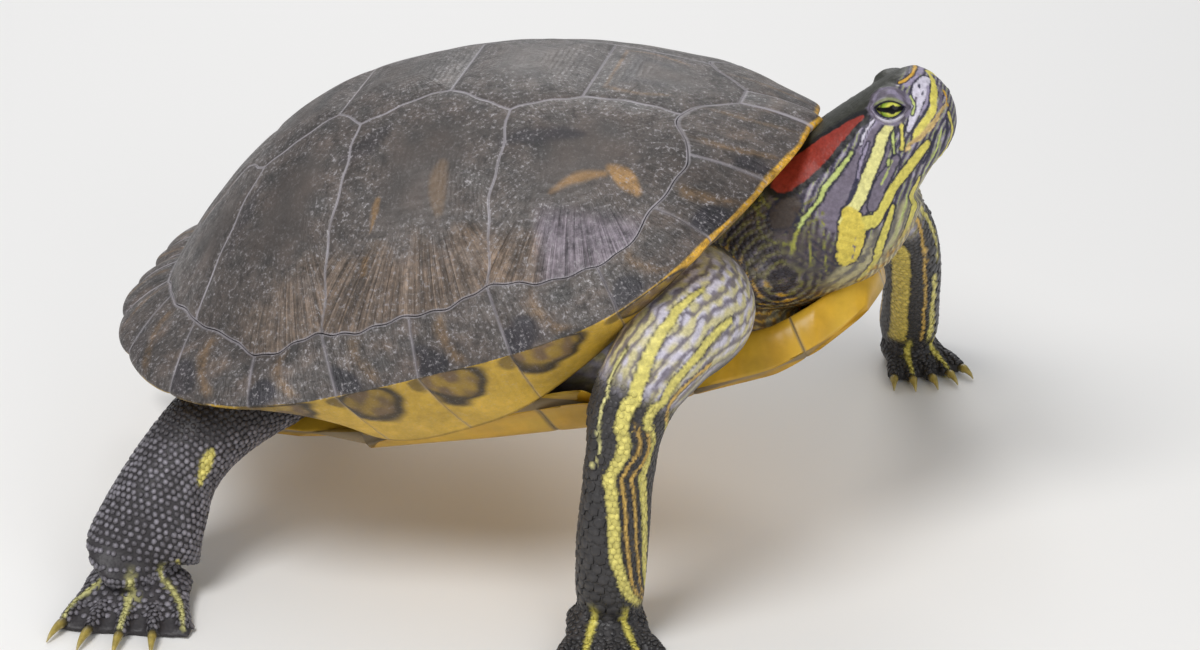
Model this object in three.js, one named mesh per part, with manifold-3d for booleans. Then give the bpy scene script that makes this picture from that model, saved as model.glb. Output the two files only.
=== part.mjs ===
// Red-eared slider turtle, life size, standing with its head raised.
// Millimetres, +X towards the head, +Y the animal's left, +Z up, floor at z = 0.
// The shell is shaped in its own frame, whose origin is the middle of the carapace at the level
// of the rim, and is then tipped up at the front. Legs, neck, head and tail are shaped over the floor.

import * as THREE from 'three';
import { ParametricGeometry } from 'three/addons/geometries/ParametricGeometry.js';
import { mergeVertices } from 'three/addons/utils/BufferGeometryUtils.js';
import Module from 'manifold-3d';

const wasm = await Module();
wasm.setup();

// ---------------------------------------------------------------- driving dimensions

const SHELL_LENGTH = 190;                 // over the rim's sweep; the straight length is 187
const SHELL_HALF_WIDTH = 0.385;           // the shell's measures are shares of its length
const DOME_HEIGHT = 0.285;
const DOME_APEX = -0.05;                  // how far the highest point lies from the middle
const DOME_HALF_LENGTH = 0.51;
const DOME_OUTLINE = 2.3;                 // superellipse exponent of the outline
const DOME_ROUNDING = 2.15;               // how flat the top is before it falls to the rim
const FRONT_RISE = 0.1;                   // how far the rim sweeps up in front and behind
const REAR_RISE = 0.087;
const PLASTRON_LEVEL = -0.151;            // underside of the plastron, below the rim's middle
const BRIDGE_LEVEL = -0.100;              // where the plastron meets the side marginals
const SHELL_PITCH = THREE.MathUtils.degToRad(19);
const SHELL_CENTRE_HEIGHT = 68;

const PLATE = 2.6;                        // thickness of a carapace plate
const PLASTRON_PLATE = 3.6;
const LIP_EDGE = 1.6;                     // the plastron's lip at its edge, and at its ridge
const LIP_FRONT = 9.5;
const LIP_REAR = 5.5;
const LIP_WIDTH = 7.5;
const GAP = 0.3;                          // gap between neighbouring pieces
const SLIVER = 0.05;                      // smallest detail a plate keeps, and a cut piece of flesh
const FLESH_SLIVER = 0.16;
const BODY_UNDER_PLATES = 4.4;            // depth of the trunk below the carapace's surface

const HEAD_CENTRE = [97.7, 3, 120];       // midway between the eyes
const HEAD_PITCH = THREE.MathUtils.degToRad(48);
const HEAD_YAW = THREE.MathUtils.degToRad(12);
const HEAD_ROLL = THREE.MathUtils.degToRad(-8);
const NECK_CUT = -24;                     // the head ends this far behind the eyes
const EYE_RADIUS = 4.5;
const EYE_OFFSET = 6.9;                   // from the middle plane to the eye's centre
const LID_RADIUS = 5.5;
const LID_OPENING = [4.2, 3.2, 2.5];      // half-length, depth and half-height of the slit
const LID_SLANT = THREE.MathUtils.degToRad(43); // how far the slit runs down towards the snout
const CLAW_RADIUS = 1.15;

const SKIN_DARK = '#4a4a42';
const SHELL_DARK = '#4a443f';
const SHELL_YELLOW = '#d8a83c';
const IRIS_GREEN = '#a9b545';
const HORN = '#8a7a55';

// ---------------------------------------------------------------- general helpers

const vec = (p) => new THREE.Vector3(p[0], p[1], p[2]);
const clamp01 = (t) => Math.min(Math.max(t, 0), 1);
const ease = (t) => clamp01(t) * clamp01(t) * (3 - 2 * clamp01(t));

// Smooth curve through three-number stations, read by station number.
function through(stations) {
  const curve = new THREE.CatmullRomCurve3(stations.map(vec), false, 'catmullrom', 0.5);
  return (index) => curve.getPoint(clamp01(index / (stations.length - 1)));
}

// Closed surface of a function of u (around) and v (along), with poles at both ends.
function closedSurface(point, around, along) {
  const surface = new ParametricGeometry(point, around, along);
  surface.deleteAttribute('normal');
  surface.deleteAttribute('uv');
  const welded = mergeVertices(surface, 1e-3);
  const corners = welded.index.array;
  const kept = [];
  for (let i = 0; i < corners.length; i += 3) {
    const [a, b, c] = [corners[i], corners[i + 1], corners[i + 2]];
    if (a !== b && b !== c && c !== a) kept.push(a, b, c);
  }
  welded.setIndex(kept);
  return toSolid(welded);
}

// Signed volume of an indexed geometry, negative where the faces point inwards.
function signedVolume(geometry) {
  const position = geometry.attributes.position;
  const corners = geometry.index.array;
  const [a, b, c] = [new THREE.Vector3(), new THREE.Vector3(), new THREE.Vector3()];
  let volume = 0;
  for (let i = 0; i < corners.length; i += 3) {
    a.fromBufferAttribute(position, corners[i]);
    b.fromBufferAttribute(position, corners[i + 1]);
    c.fromBufferAttribute(position, corners[i + 2]);
    volume += a.dot(b.cross(c)) / 6;
  }
  return volume;
}

function toSolid(geometry) {
  const corners = Array.from(geometry.index.array);
  if (signedVolume(geometry) < 0) corners.reverse();
  const mesh = new wasm.Mesh({
    numProp: 3,
    vertProperties: new Float32Array(geometry.attributes.position.array),
    triVerts: new Uint32Array(corners),
  });
  return new wasm.Manifold(mesh);
}

// Geometry of a solid, without the slivers that cutting leaves behind.
function toGeometry(solid, detail) {
  const mesh = solid.simplify(detail).getMesh();
  const geometry = new THREE.BufferGeometry();
  geometry.setAttribute('position', new THREE.BufferAttribute(new Float32Array(mesh.vertProperties), 3));
  geometry.setIndex(new THREE.BufferAttribute(new Uint32Array(mesh.triVerts), 1));
  return geometry;
}

// The largest connected body of a solid.
function mainBody(solid) {
  const bodies = solid.decompose();
  return bodies.reduce((best, body) => (body.volume() > best.volume() ? body : best));
}

const cutAll = (solid, cutters) => cutters.reduce((rest, cutter) => rest.subtract(cutter), solid);

function block(low, high) {
  const size = vec(high).sub(vec(low));
  const geometry = new THREE.BoxGeometry(size.x, size.y, size.z);
  const centre = vec(low).add(vec(high)).multiplyScalar(0.5);
  geometry.translate(centre.x, centre.y, centre.z);
  geometry.deleteAttribute('normal');
  geometry.deleteAttribute('uv');
  return mergeVertices(geometry, 1e-3);
}

// ---------------------------------------------------------------- shell surfaces, in the shell's frame

// Height of the rim above its middle level, at x.
function rimRise(x) {
  return x > 0 ? FRONT_RISE * (x / 0.49) ** 2.5 : REAR_RISE * (-x / 0.51) ** 2.2;
}

// Height of the dome over a point of the plan: a rounded superellipse, lifted with the rim.
function domeHeight(x, y) {
  const reach = x > DOME_APEX ? DOME_HALF_LENGTH - DOME_APEX : DOME_HALF_LENGTH + DOME_APEX;
  const along = Math.abs((x - DOME_APEX) / reach) ** DOME_OUTLINE;
  const across = Math.abs(y / SHELL_HALF_WIDTH) ** DOME_OUTLINE;
  const radius = Math.min((along + across) ** (1 / DOME_OUTLINE), 1);
  return DOME_HEIGHT * (1 - radius ** DOME_ROUNDING) + 0.5 * rimRise(x);
}

// Point of the dome in millimetres, moved inwards by depth along the surface's normal.
function domePoint(x, y, depth) {
  const step = 0.01;
  const slopeX = (domeHeight(x + step, y) - domeHeight(x - step, y)) / (2 * step);
  const slopeY = (domeHeight(x, y + step) - domeHeight(x, y - step)) / (2 * step);
  const normal = new THREE.Vector3(-slopeX, -slopeY, 1).normalize();
  const point = new THREE.Vector3(x, y, domeHeight(x, y)).multiplyScalar(SHELL_LENGTH);
  return point.addScaledVector(normal, -depth);
}

// Half-width of the plastron at x: front lobe, bridge and rear lobe.
const PLASTRON_OUTLINE = [
  [0.492, 0.045], [0.470, 0.078], [0.42, 0.122], [0.35, 0.156], [0.28, 0.180], [0.235, 0.200],
  [0.195, 0.250], [0.16, 0.300], [0.11, 0.312], [-0.10, 0.312], [-0.14, 0.295], [-0.18, 0.245],
  [-0.22, 0.212], [-0.29, 0.202], [-0.37, 0.172], [-0.43, 0.122], [-0.47, 0.070],
];

function plastronHalfWidth(x) {
  const after = Math.max(PLASTRON_OUTLINE.findIndex((row) => row[0] <= x), 1);
  const [x0, w0] = PLASTRON_OUTLINE[after - 1];
  const [x1, w1] = PLASTRON_OUTLINE[after];
  return w0 + (w1 - w0) * clamp01((x - x0) / (x1 - x0));
}

// Underside of the plastron: nearly flat, deepest in front, turned up at the front tip, and
// rising at its sides to the bridge.
function plastronUnderside(x, y) {
  const slope = x > 0 ? -0.095 : -0.12;
  const tip = 0.045 * clamp01((x - 0.36) / 0.14) ** 1.3;
  const level = PLASTRON_LEVEL + slope * x + tip;
  const outward = ease((Math.abs(y) - 0.25) / 0.065);
  const middle = ease((0.24 - Math.abs(x + 0.005)) / 0.06);
  return level + (BRIDGE_LEVEL - level) * outward * middle;
}

// Thickness of the plastron in millimetres: its free lobes carry a bevelled lip, thin at the
// edge and thickest where the skin starts.
function plastronThickness(x, y) {
  const fromEdge = (plastronHalfWidth(x) - Math.abs(y)) * SHELL_LENGTH;
  const lobe = 1 - ease((0.24 - Math.abs(x + 0.005)) / 0.06);
  const height = x > 0 ? LIP_FRONT : LIP_REAR;
  const rising = (height - LIP_EDGE) * clamp01(fromEdge / LIP_WIDTH);
  const falling = (PLASTRON_PLATE - height) * ease((fromEdge - LIP_WIDTH) / LIP_WIDTH);
  return PLASTRON_PLATE + lobe * (LIP_EDGE + rising + falling - PLASTRON_PLATE);
}

// ---------------------------------------------------------------- carapace plates

// Corners of the plates in the plan, right and left alike: where the cross seams of the
// vertebrals end, and the outermost corners of vertebrals 2 to 4.
const VERTEBRAL_ENDS = [null, [0.215, 0.090], [0.040, 0.080], [-0.125, 0.082], [-0.285, 0.068]];
const VERTEBRAL_CORNERS = [null, [0.128, 0.125], [-0.080, 0.114], [-0.235, 0.112]];
// Stations round the shell: 0 is the nuchal's corner, 1 where vertebral 1 meets costal 1, 2 to 12
// the seams between the marginals, 13 the middle of the back. Inner end, rim and underside.
const SEAM_INNER = [
  [0.388, 0.022], [0.330, 0.085], [0.345, 0.152], [0.310, 0.232], [0.235, 0.300], [0.093, 0.322],
  [-0.015, 0.338], [-0.140, 0.335], [-0.240, 0.322], [-0.345, 0.248], [-0.410, 0.160], [-0.435, 0.100],
  [-0.447, 0.045], [-0.450, 0.0],
];
const SEAM_RIM = [
  [0.468, 0.020], [0.455, 0.075], [0.425, 0.135], [0.365, 0.235], [0.255, 0.335], [0.110, 0.362],
  [-0.015, 0.372], [-0.125, 0.385], [-0.245, 0.388], [-0.365, 0.345], [-0.455, 0.245], [-0.497, 0.145],
  [-0.510, 0.055], [-0.503, 0.0],
];
const SEAM_UNDER = [
  [0.410, 0.020, 0.066], [0.402, 0.066, 0.062], [0.372, 0.112, 0.048], [0.320, 0.198, 0.020],
  [0.235, 0.275, -0.030], [0.110, 0.318, -0.082], [0.005, 0.318, -0.104], [-0.110, 0.318, -0.098],
  [-0.215, 0.305, -0.034], [-0.310, 0.275, 0.010], [-0.392, 0.192, 0.046], [-0.428, 0.116, 0.064],
  [-0.443, 0.050, 0.072], [-0.440, 0.0, 0.072],
];
const LAST = SEAM_INNER.length - 1;

const planCurve = (rows) => through(rows.map(([x, y, z = 0]) => [x, y, z]));
const innerSeam = planCurve(SEAM_INNER);
const rimLine = planCurve(SEAM_RIM);
const underLine = planCurve(SEAM_UNDER);

const between = (a, b, t) => [a[0] + (b[0] - a[0]) * t, a[1] + (b[1] - a[1]) * t];
const straight = (a, b, steps) => Array.from({ length: steps }, (_, i) => between(a, b, i / steps));
const alongInner = (from, to, steps) => Array.from({ length: steps }, (_, i) => {
  const point = innerSeam(from + ((to - from) * i) / steps);
  return [point.x, point.y];
});
const mirrored = (rows, side) => rows.map((row) => [row[0], row[1] * side]);

// One carapace plate: its outline is drawn in to a centre in rings, over the dome and under it.
function carapacePlate(outline) {
  const count = outline.length;
  const middle = outline.reduce((sum, row) => [sum[0] + row[0] / count, sum[1] + row[1] / count], [0, 0]);
  const rows = [[0, 0], [0.4, 0], [0.75, 0], [1, 0], [1, PLATE], [0, PLATE]];
  const inset = (0.75 * GAP) / SHELL_LENGTH;
  return closedSurface((u, v, target) => {
    const [share, depth] = rows[Math.round(v * (rows.length - 1))];
    const corner = outline[Math.round(u * count) % count];
    const reach = Math.hypot(corner[0] - middle[0], corner[1] - middle[1]);
    const scale = share * (1 - inset / reach);
    const [x, y] = between(middle, corner, scale);
    target.copy(domePoint(x, y, depth));
  }, count, rows.length - 1);
}

// Outline of vertebral plate number 0 to 4, a mirror-symmetric ring of points.
function vertebralOutline(number) {
  const ends = VERTEBRAL_ENDS;
  let right;
  if (number === 0) {
    right = [...alongInner(0, 1, 2), ...straight(SEAM_INNER[1], ends[1], 3), ends[1]];
  } else if (number === 4) {
    right = [...straight(ends[4], SEAM_INNER[LAST - 2], 3), ...alongInner(LAST - 2, LAST, 4)];
  } else {
    const corner = VERTEBRAL_CORNERS[number];
    const next = ends[number + 1];
    right = [...straight(ends[number], corner, 2), ...straight(corner, next, 2), next];
  }
  return [...right, ...mirrored(right, -1).reverse()];
}

// Outline of costal plate number 0 to 3 on the side given as 1 (left) or -1 (right): in from the
// vertebrals to the marginals, along them, and back.
function costalOutline(number, side) {
  const [from, to] = [[1, 5], [5, 7], [7, 9], [9, LAST - 2]][number];
  const top = VERTEBRAL_ENDS[number + 1];
  const front = VERTEBRAL_CORNERS[number];
  const back = VERTEBRAL_CORNERS[number + 1];
  const into = front ? [...straight(top, front, 2), ...straight(front, SEAM_INNER[from], 3)]
    : straight(top, SEAM_INNER[from], 3);
  const out = back ? [...straight(SEAM_INNER[to], back, 3), ...straight(back, top, 2)]
    : straight(SEAM_INNER[to], top, 3);
  return mirrored([...into, ...alongInner(from, to, (to - from) * 2), ...out], side);
}

// ---------------------------------------------------------------- marginal plates

// Loop of the marginal band's section at seam position t, wound from the costal seam over the
// top to the rim, round its lip and along the underside, and back up inside. grow swells it.
function marginalSection(t, grow) {
  const inner = innerSeam(t);
  const rim = rimLine(t);
  const under = underLine(t);
  const rimTop = new THREE.Vector3(rim.x, rim.y, rimRise(rim.x) + 0.006);
  const rimLow = new THREE.Vector3(rim.x, rim.y, rimRise(rim.x) - 0.006);
  const seamTop = domePoint(inner.x, inner.y, 0).divideScalar(SHELL_LENGTH);
  const seamLow = domePoint(inner.x, inner.y, PLATE).divideScalar(SHELL_LENGTH);
  const outward = new THREE.Vector3(rim.x - inner.x, rim.y - inner.y, 0).normalize();
  const gap = GAP / 2 / SHELL_LENGTH;
  seamTop.addScaledVector(outward, gap);
  seamLow.addScaledVector(outward, gap);
  const shoulder = seamTop.clone().lerp(rimTop, 0.5).add(new THREE.Vector3(0, 0, 0.004));
  const belly = rimLow.clone().lerp(under, 0.5).addScaledVector(outward, 0.006);
  const underTop = under.clone().add(new THREE.Vector3(0, 0, 0.016));
  const loop = [seamTop, shoulder, rimTop, rimLow, belly, under, underTop, seamLow];
  const middle = loop.reduce((sum, point) => sum.add(point), new THREE.Vector3()).divideScalar(loop.length);
  return loop.map((point) => {
    const away = point.clone().sub(middle).normalize();
    return point.clone().addScaledVector(away, grow / SHELL_LENGTH).multiplyScalar(SHELL_LENGTH);
  });
}

// A run of marginals between two seams, on the side given as 1 (left) or -1 (right).
function marginalBand(from, to, side, grow = 0) {
  const steps = (to - from) * 2;
  const endGap = grow > 0 ? -0.03 : 0.01; // in seam positions, each about 18 mm long
  const sections = Array.from({ length: steps + 1 }, (_, i) => {
    const t = THREE.MathUtils.lerp(from + endGap, to - endGap, i / steps);
    return marginalSection(t, grow);
  });
  const centres = sections.map((loop) => {
    return loop.reduce((sum, point) => sum.add(point), new THREE.Vector3()).divideScalar(loop.length);
  });
  const rows = steps + 2;
  const around = sections[0].length;
  return closedSurface((u, v, target) => {
    const row = Math.round(v * rows) - 1;
    const inside = Math.min(Math.max(row, 0), steps);
    const corner = Math.round(u * around) % around;
    const capped = row < 0 || row > steps;
    target.copy(capped ? centres[inside] : sections[inside][corner]);
    target.y *= side;
  }, around, rows);
}

// The nuchal: the small plate in the middle of the front rim.
function nuchalPlate(grow = 0) {
  const rows = [-1, -0.5, 0, 0.5, 1];
  const reach = 1 + (grow - 0.75 * GAP) / (SEAM_INNER[0][1] * SHELL_LENGTH);
  const bow = 2;                          // how far the rim bows forward in the middle
  const loopAt = (side) => {
    const loop = marginalSection(0, grow);
    return loop.map((point) => {
      const towardsRim = clamp01((point.x - loop[0].x) / (loop[2].x - loop[0].x));
      const forward = bow * towardsRim * (1 - Math.abs(side));
      return new THREE.Vector3(point.x + forward, point.y * side * reach, point.z);
    });
  };
  const loops = rows.map(loopAt);
  const centres = loops.map((loop) => {
    return loop.reduce((sum, point) => sum.add(point), new THREE.Vector3()).divideScalar(loop.length);
  });
  const around = loops[0].length;
  return closedSurface((u, v, target) => {
    const row = Math.round(v * (rows.length + 1)) - 1;
    const inside = Math.min(Math.max(row, 0), rows.length - 1);
    const capped = row < 0 || row > rows.length - 1;
    target.copy(capped ? centres[inside] : loops[inside][Math.round(u * around) % around]);
  }, around, rows.length + 1);
}

// ---------------------------------------------------------------- plastron plates

// Seams across the plastron: x at the middle and how far it shifts at the edge.
const PLASTRON_SEAMS = [
  [0.492, -0.012], [0.370, 0.032], [0.285, -0.025], [0.085, 0.010], [-0.130, -0.050], [-0.285, -0.075],
  [-0.448, -0.022],
];
const PLASTRON_ROWS = [-1, -0.87, -0.7, -0.35, 0, 0.35, 0.7, 0.87, 1];

// A pair of plastron plates between two seams. Its section runs fore and aft and is carried
// across from one edge of the plastron to the other.
function plastronPlate(number, grow = 0) {
  const [frontX, frontShift] = PLASTRON_SEAMS[number];
  const [rearX, rearShift] = PLASTRON_SEAMS[number + 1];
  const last = PLASTRON_ROWS.length - 1;
  const loop = [[0, 0], [0.33, 0], [0.67, 0], [1, 0], [1, 1], [0.67, 1], [0.33, 1], [0, 1]];
  const half = (GAP / 2 - grow) / SHELL_LENGTH;
  return closedSurface((u, v, target) => {
    const row = Math.round(v * (last + 2)) - 1;
    const capped = row < 0 || row > last;
    const lateral = PLASTRON_ROWS[Math.min(Math.max(row, 0), last)];
    const [share, top] = capped ? [0.5, 0.5] : loop[Math.round(u * loop.length) % loop.length];
    const front = frontX + frontShift * lateral * lateral - half;
    const rear = rearX + rearShift * lateral * lateral + half;
    const x = THREE.MathUtils.lerp(front, rear, share);
    const y = lateral * (plastronHalfWidth(x) - half);
    const floor = plastronUnderside(x, y) * SHELL_LENGTH - grow;
    const rise = plastronThickness(x, lateral * plastronHalfWidth(x)) + 2 * grow;
    target.set(x * SHELL_LENGTH, y * SHELL_LENGTH, floor + top * rise);
  }, loop.length, last + 2);
}

// ---------------------------------------------------------------- trunk

// Where the trunk's skin meets the plastron, at the same stations as the seams.
const SOLE_RING = [
  [0.385, 0.018], [0.375, 0.060], [0.360, 0.095], [0.320, 0.130], [0.245, 0.165], [0.110, 0.230],
  [-0.015, 0.238], [-0.110, 0.230], [-0.205, 0.172], [-0.285, 0.155], [-0.345, 0.115], [-0.378, 0.070],
  [-0.388, 0.030], [-0.390, 0.0],
];
const soleRing = planCurve(SOLE_RING);

// The body inside the shell: under the dome, down inside the marginals, in at the skin of the
// front and rear openings, and flat on the plastron.
function trunkBody(grow = 0) {
  const halfRound = 13;
  const around = halfRound * 2;
  const swell = grow / SHELL_LENGTH;
  const ringPoint = (t, row) => {
    const inner = innerSeam(t);
    const under = underLine(t);
    const sole = soleRing(t);
    const inwards = new THREE.Vector3(inner.x - DOME_APEX, inner.y, 0).normalize();
    const free = 1 - ease((3.6 - Math.abs(t - 6.0)) / 1.6);
    if (row < 4) {
      const share = [0, 0.4, 0.75, 1][row];
      const edge = new THREE.Vector3(inner.x, inner.y, 0).addScaledVector(inwards, swell - 0.026);
      const x = THREE.MathUtils.lerp(DOME_APEX, edge.x, share);
      return domePoint(x, edge.y * share, BODY_UNDER_PLATES - grow);
    }
    const plastronTop = (x, y) => plastronUnderside(x, y) + (PLASTRON_PLATE + 0.9 - grow) / SHELL_LENGTH;
    if (row === 4) {
      const lift = 0.008 + 0.022 * (1 - free);
      const lip = new THREE.Vector3(under.x, under.y, under.z + lift).addScaledVector(inwards, swell - 0.010);
      return lip.multiplyScalar(SHELL_LENGTH);
    }
    if (row === 5) {
      const depth = swell - 0.012 - 0.03 * free;
      const wall = new THREE.Vector3(under.x, under.y, 0).lerp(sole, 0.5).addScaledVector(inwards, depth);
      wall.z = (under.z + plastronTop(sole.x, sole.y)) / 2 + 0.004;
      return wall.multiplyScalar(SHELL_LENGTH);
    }
    if (row === 6) {
      const foot = new THREE.Vector3(sole.x, sole.y, 0).addScaledVector(inwards, swell);
      foot.z = plastronTop(foot.x, foot.y);
      return foot.multiplyScalar(SHELL_LENGTH);
    }
    return new THREE.Vector3(0, 0, plastronTop(0, 0)).multiplyScalar(SHELL_LENGTH);
  };
  return closedSurface((u, v, target) => {
    const step = Math.round(u * around) % around;
    const side = step <= halfRound ? 1 : -1;
    const t = LAST * (step <= halfRound ? step / halfRound : (around - step) / halfRound);
    target.copy(ringPoint(t, Math.round(v * 7)));
    target.y *= step === 0 || step === halfRound ? 0 : side;
  }, around, 7);
}

// ---------------------------------------------------------------- lofts over the floor

// A body carried along a path. Each station is [x, y, z, half-width, half-depth]; up tells the
// section which way its depth points. Both ends close to a point.
function loft(stations, up, around, along, grow = 0) {
  const centre = through(stations.map((row) => row.slice(0, 3)));
  const size = through(stations.map((row) => [row[3], row[4], 0]));
  const last = stations.length - 1;
  return closedSurface((u, v, target) => {
    const row = Math.round(v * (along + 2)) - 1;
    const index = clamp01(row / along) * last;
    const tangent = centre(Math.min(index + 0.05, last)).sub(centre(Math.max(index - 0.05, 0))).normalize();
    const side = tangent.clone().cross(vec(up)).normalize();
    const depth = side.clone().cross(tangent);
    const capped = row < 0 || row > along;
    const half = size(index);
    const angle = u * 2 * Math.PI;
    target.copy(centre(index));
    if (capped) {
      target.addScaledVector(tangent, row < 0 ? -grow : grow);
    } else {
      target.addScaledVector(side, (half.x + grow) * Math.cos(angle));
      target.addScaledVector(depth, (half.y + grow) * Math.sin(angle));
    }
  }, around, along + 2);
}

// ---------------------------------------------------------------- neck and head

const NECK_STATIONS = [
  [40, 0, 78, 24, 16], [58, 0, 80.5, 25, 19.5], [70, 0, 84.5, 24.5, 21.5], [80, 0, 89, 21.5, 21.8],
  [88, 0, 95.5, 18, 20], [96, 1.5, 104, 13.5, 15],
];
const neckLoft = (grow = 0) => loft(NECK_STATIONS, [0, 0, 1], 14, 6, grow);

// The head's frame: x to the snout, z to the crown, origin midway between the eyes.
const headTurn = new THREE.Euler(HEAD_ROLL, -HEAD_PITCH, HEAD_YAW, 'ZYX');
const headMatrix = new THREE.Matrix4().makeRotationFromEuler(headTurn);
headMatrix.setPosition(vec(HEAD_CENTRE));

// Stations of the head: x, half-width, crown, underside, height of the widest place.
const HEAD_STATIONS = [
  [-32, 13.0, 10.2, -23.0, -5], [-26, 14.4, 10.2, -23.5, -5], [-19, 14.8, 9.2, -22.5, -5],
  [-12, 14.0, 8.0, -21.0, -5], [-5, 12.4, 6.6, -19.2, -4], [1, 10.8, 5.4, -18.6, -4],
  [6, 8.6, 4.2, -16.4, -4.5], [9.2, 6.2, 2.4, -12.8, -5], [11.0, 3.3, -0.6, -8.8, -5],
];

function headLoft() {
  const last = HEAD_STATIONS.length - 1;
  const outline = through(HEAD_STATIONS.map((row) => [row[0], row[1], row[4]]));
  const heights = through(HEAD_STATIONS.map((row) => [row[2], row[3], 0]));
  const along = 11;
  return closedSurface((u, v, target) => {
    const row = Math.round(v * (along + 2)) - 1;
    const index = clamp01(row / along) * last;
    const at = outline(index);
    const height = heights(index);
    const angle = u * 2 * Math.PI;
    const capped = row < 0 || row > along;
    const upper = Math.sin(angle) > 0;
    const reach = upper ? height.x - at.z : at.z - height.y;
    const square = (value) => Math.sign(value) * Math.abs(value) ** 0.86;
    target.set(at.x, at.y * square(Math.cos(angle)), at.z + reach * square(Math.sin(angle)));
    if (capped) target.set(at.x + (row < 0 ? 0 : 0.5), 0, at.z);
  }, 14, along + 2).transform(headMatrix.toArray());
}

// Ball with the radii given along its own axes, centred beside the middle plane. Its axes are the
// head's, turned about the line through the eyes by slant.
function headBall(radii, offset, around, along, slant = 0) {
  const sideAxis = new THREE.Vector3(0, 1, 0);
  return closedSurface((u, v, target) => {
    target.setFromSphericalCoords(1, v * Math.PI, u * 2 * Math.PI);
    target.set(target.z * radii[0], target.x * radii[1], target.y * radii[2]);
    target.applyAxisAngle(sideAxis, slant);
    target.y += offset;
  }, around, along).transform(headMatrix.toArray());
}

function eyeball(side, grow = 0) {
  const radius = EYE_RADIUS + grow;
  return headBall([radius, radius, radius], side * EYE_OFFSET, 10, 6);
}

// The lids: a thin ball round the eye, open in a slanting slit.
const lidBall = (side) => headBall([LID_RADIUS, LID_RADIUS, LID_RADIUS], side * EYE_OFFSET, 10, 6);
const lidOpening = (side) => headBall(LID_OPENING, side * (EYE_OFFSET + EYE_RADIUS), 8, 4, LID_SLANT);

// The space of the lower jaw in the head's frame: below the mouth line and before the jaw's angle.
function jawSpace(grow = 0) {
  const profile = new THREE.Shape();
  profile.moveTo(20, -13.6 + grow);
  profile.lineTo(2, -13.2 + grow);
  profile.lineTo(-9 - grow, -11.6 + grow);
  profile.lineTo(-13 - grow, -14 + grow);
  profile.lineTo(-13 - grow, -40);
  profile.lineTo(20, -40);
  const geometry = new THREE.ExtrudeGeometry(profile, { depth: 60, bevelEnabled: false });
  geometry.translate(0, 0, -30);
  geometry.rotateX(Math.PI / 2);
  geometry.deleteAttribute('normal');
  geometry.deleteAttribute('uv');
  return toSolid(mergeVertices(geometry, 1e-3)).transform(headMatrix.toArray());
}

// ---------------------------------------------------------------- legs

// Each leg: the path of the limb, then the foot's heel, its heading in degrees and its measures.
const LEGS = {
  leg_fore_right: {
    limb: [
      [48, -22, 79, 14, 13], [59, -38, 77.5, 14, 13.5], [54.5, -53, 74, 12.5, 12.5],
      [48, -62, 63, 10.4, 10], [45.7, -64.5, 47, 10, 8.2], [44.3, -65.5, 30, 10.2, 8.9],
      [43.5, -65.5, 15, 10, 8.8], [43, -64.5, 7, 8.4, 8],
    ],
    heel: [41.5, -63], heading: -72, palm: 17, width: 10.5, spread: 60, digits: 5, claws: 5, digit: 10.5,
    web: 0.45,
  },
  leg_fore_left: {
    limb: [
      [52, 22, 84, 13, 12], [68, 36, 80, 13, 12], [82, 50, 72, 11.5, 11], [91.5, 62, 59, 9.2, 9],
      [93.5, 73, 44, 8.4, 8], [92.3, 84, 28, 8.2, 7.6], [90.3, 95, 14, 8.6, 7.6], [89.6, 99.5, 7, 7.6, 7],
    ],
    heel: [88.5, 102], heading: -58, palm: 15, width: 9, spread: 44, digits: 5, claws: 5, digit: 8.5,
    web: 0.45,
  },
  leg_hind_right: {
    limb: [
      [-42, -24, 46, 14, 12], [-54, -40, 43, 12.5, 12], [-63.5, -53, 37, 11.4, 11],
      [-69.5, -62.5, 29, 11.5, 9.5], [-72.5, -70.5, 20, 13.2, 8.5], [-74.5, -75, 12, 14.4, 7.6],
      [-75, -76, 6, 12.5, 6],
    ],
    heel: [-75.5, -73], heading: -83, palm: 18, width: 14, spread: 38, digits: 5, claws: 4, digit: 13,
    web: 0.7,
  },
  leg_hind_left: {
    limb: [
      [-42, 24, 46, 14, 12], [-54, 40, 42, 12.5, 12], [-63, 52, 35, 11.4, 11], [-71, 60, 27, 11.5, 9.5],
      [-76.5, 65.5, 19, 13.2, 8.5], [-79.5, 68.5, 12, 14.4, 7.6], [-80.5, 69.5, 6, 12.5, 6],
    ],
    heel: [-79, 67], heading: 122, palm: 18, width: 14, spread: 42, digits: 5, claws: 4, digit: 13,
    web: 0.7,
  },
};

// Where digit number k starts, its heading in radians and its length.
function digitLayout(leg, k) {
  const share = k / (leg.digits - 1) - 0.5;
  const heading = THREE.MathUtils.degToRad(leg.heading + share * leg.spread);
  const forward = THREE.MathUtils.degToRad(leg.heading);
  const across = share * leg.width * 1.7;
  const start = [
    leg.heel[0] + Math.cos(forward) * leg.palm * 0.72 - Math.sin(forward) * across,
    leg.heel[1] + Math.sin(forward) * leg.palm * 0.72 + Math.cos(forward) * across,
  ];
  const length = leg.digit * (1 - 1.1 * share * share);
  return { start, heading, length };
}

function digitStations(leg, k) {
  const { start, heading, length } = digitLayout(leg, k);
  const at = (reach, height, half, depth) => [
    start[0] + Math.cos(heading) * reach, start[1] + Math.sin(heading) * reach, height, half, depth,
  ];
  return [
    at(-3, 2.6, 2.2, 3.0), at(length * 0.3, 2.4, 2.1, 2.8), at(length * 0.7, 2.2, 1.8, 2.4),
    at(length, 2.0, 1.5, 1.9),
  ];
}

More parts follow.
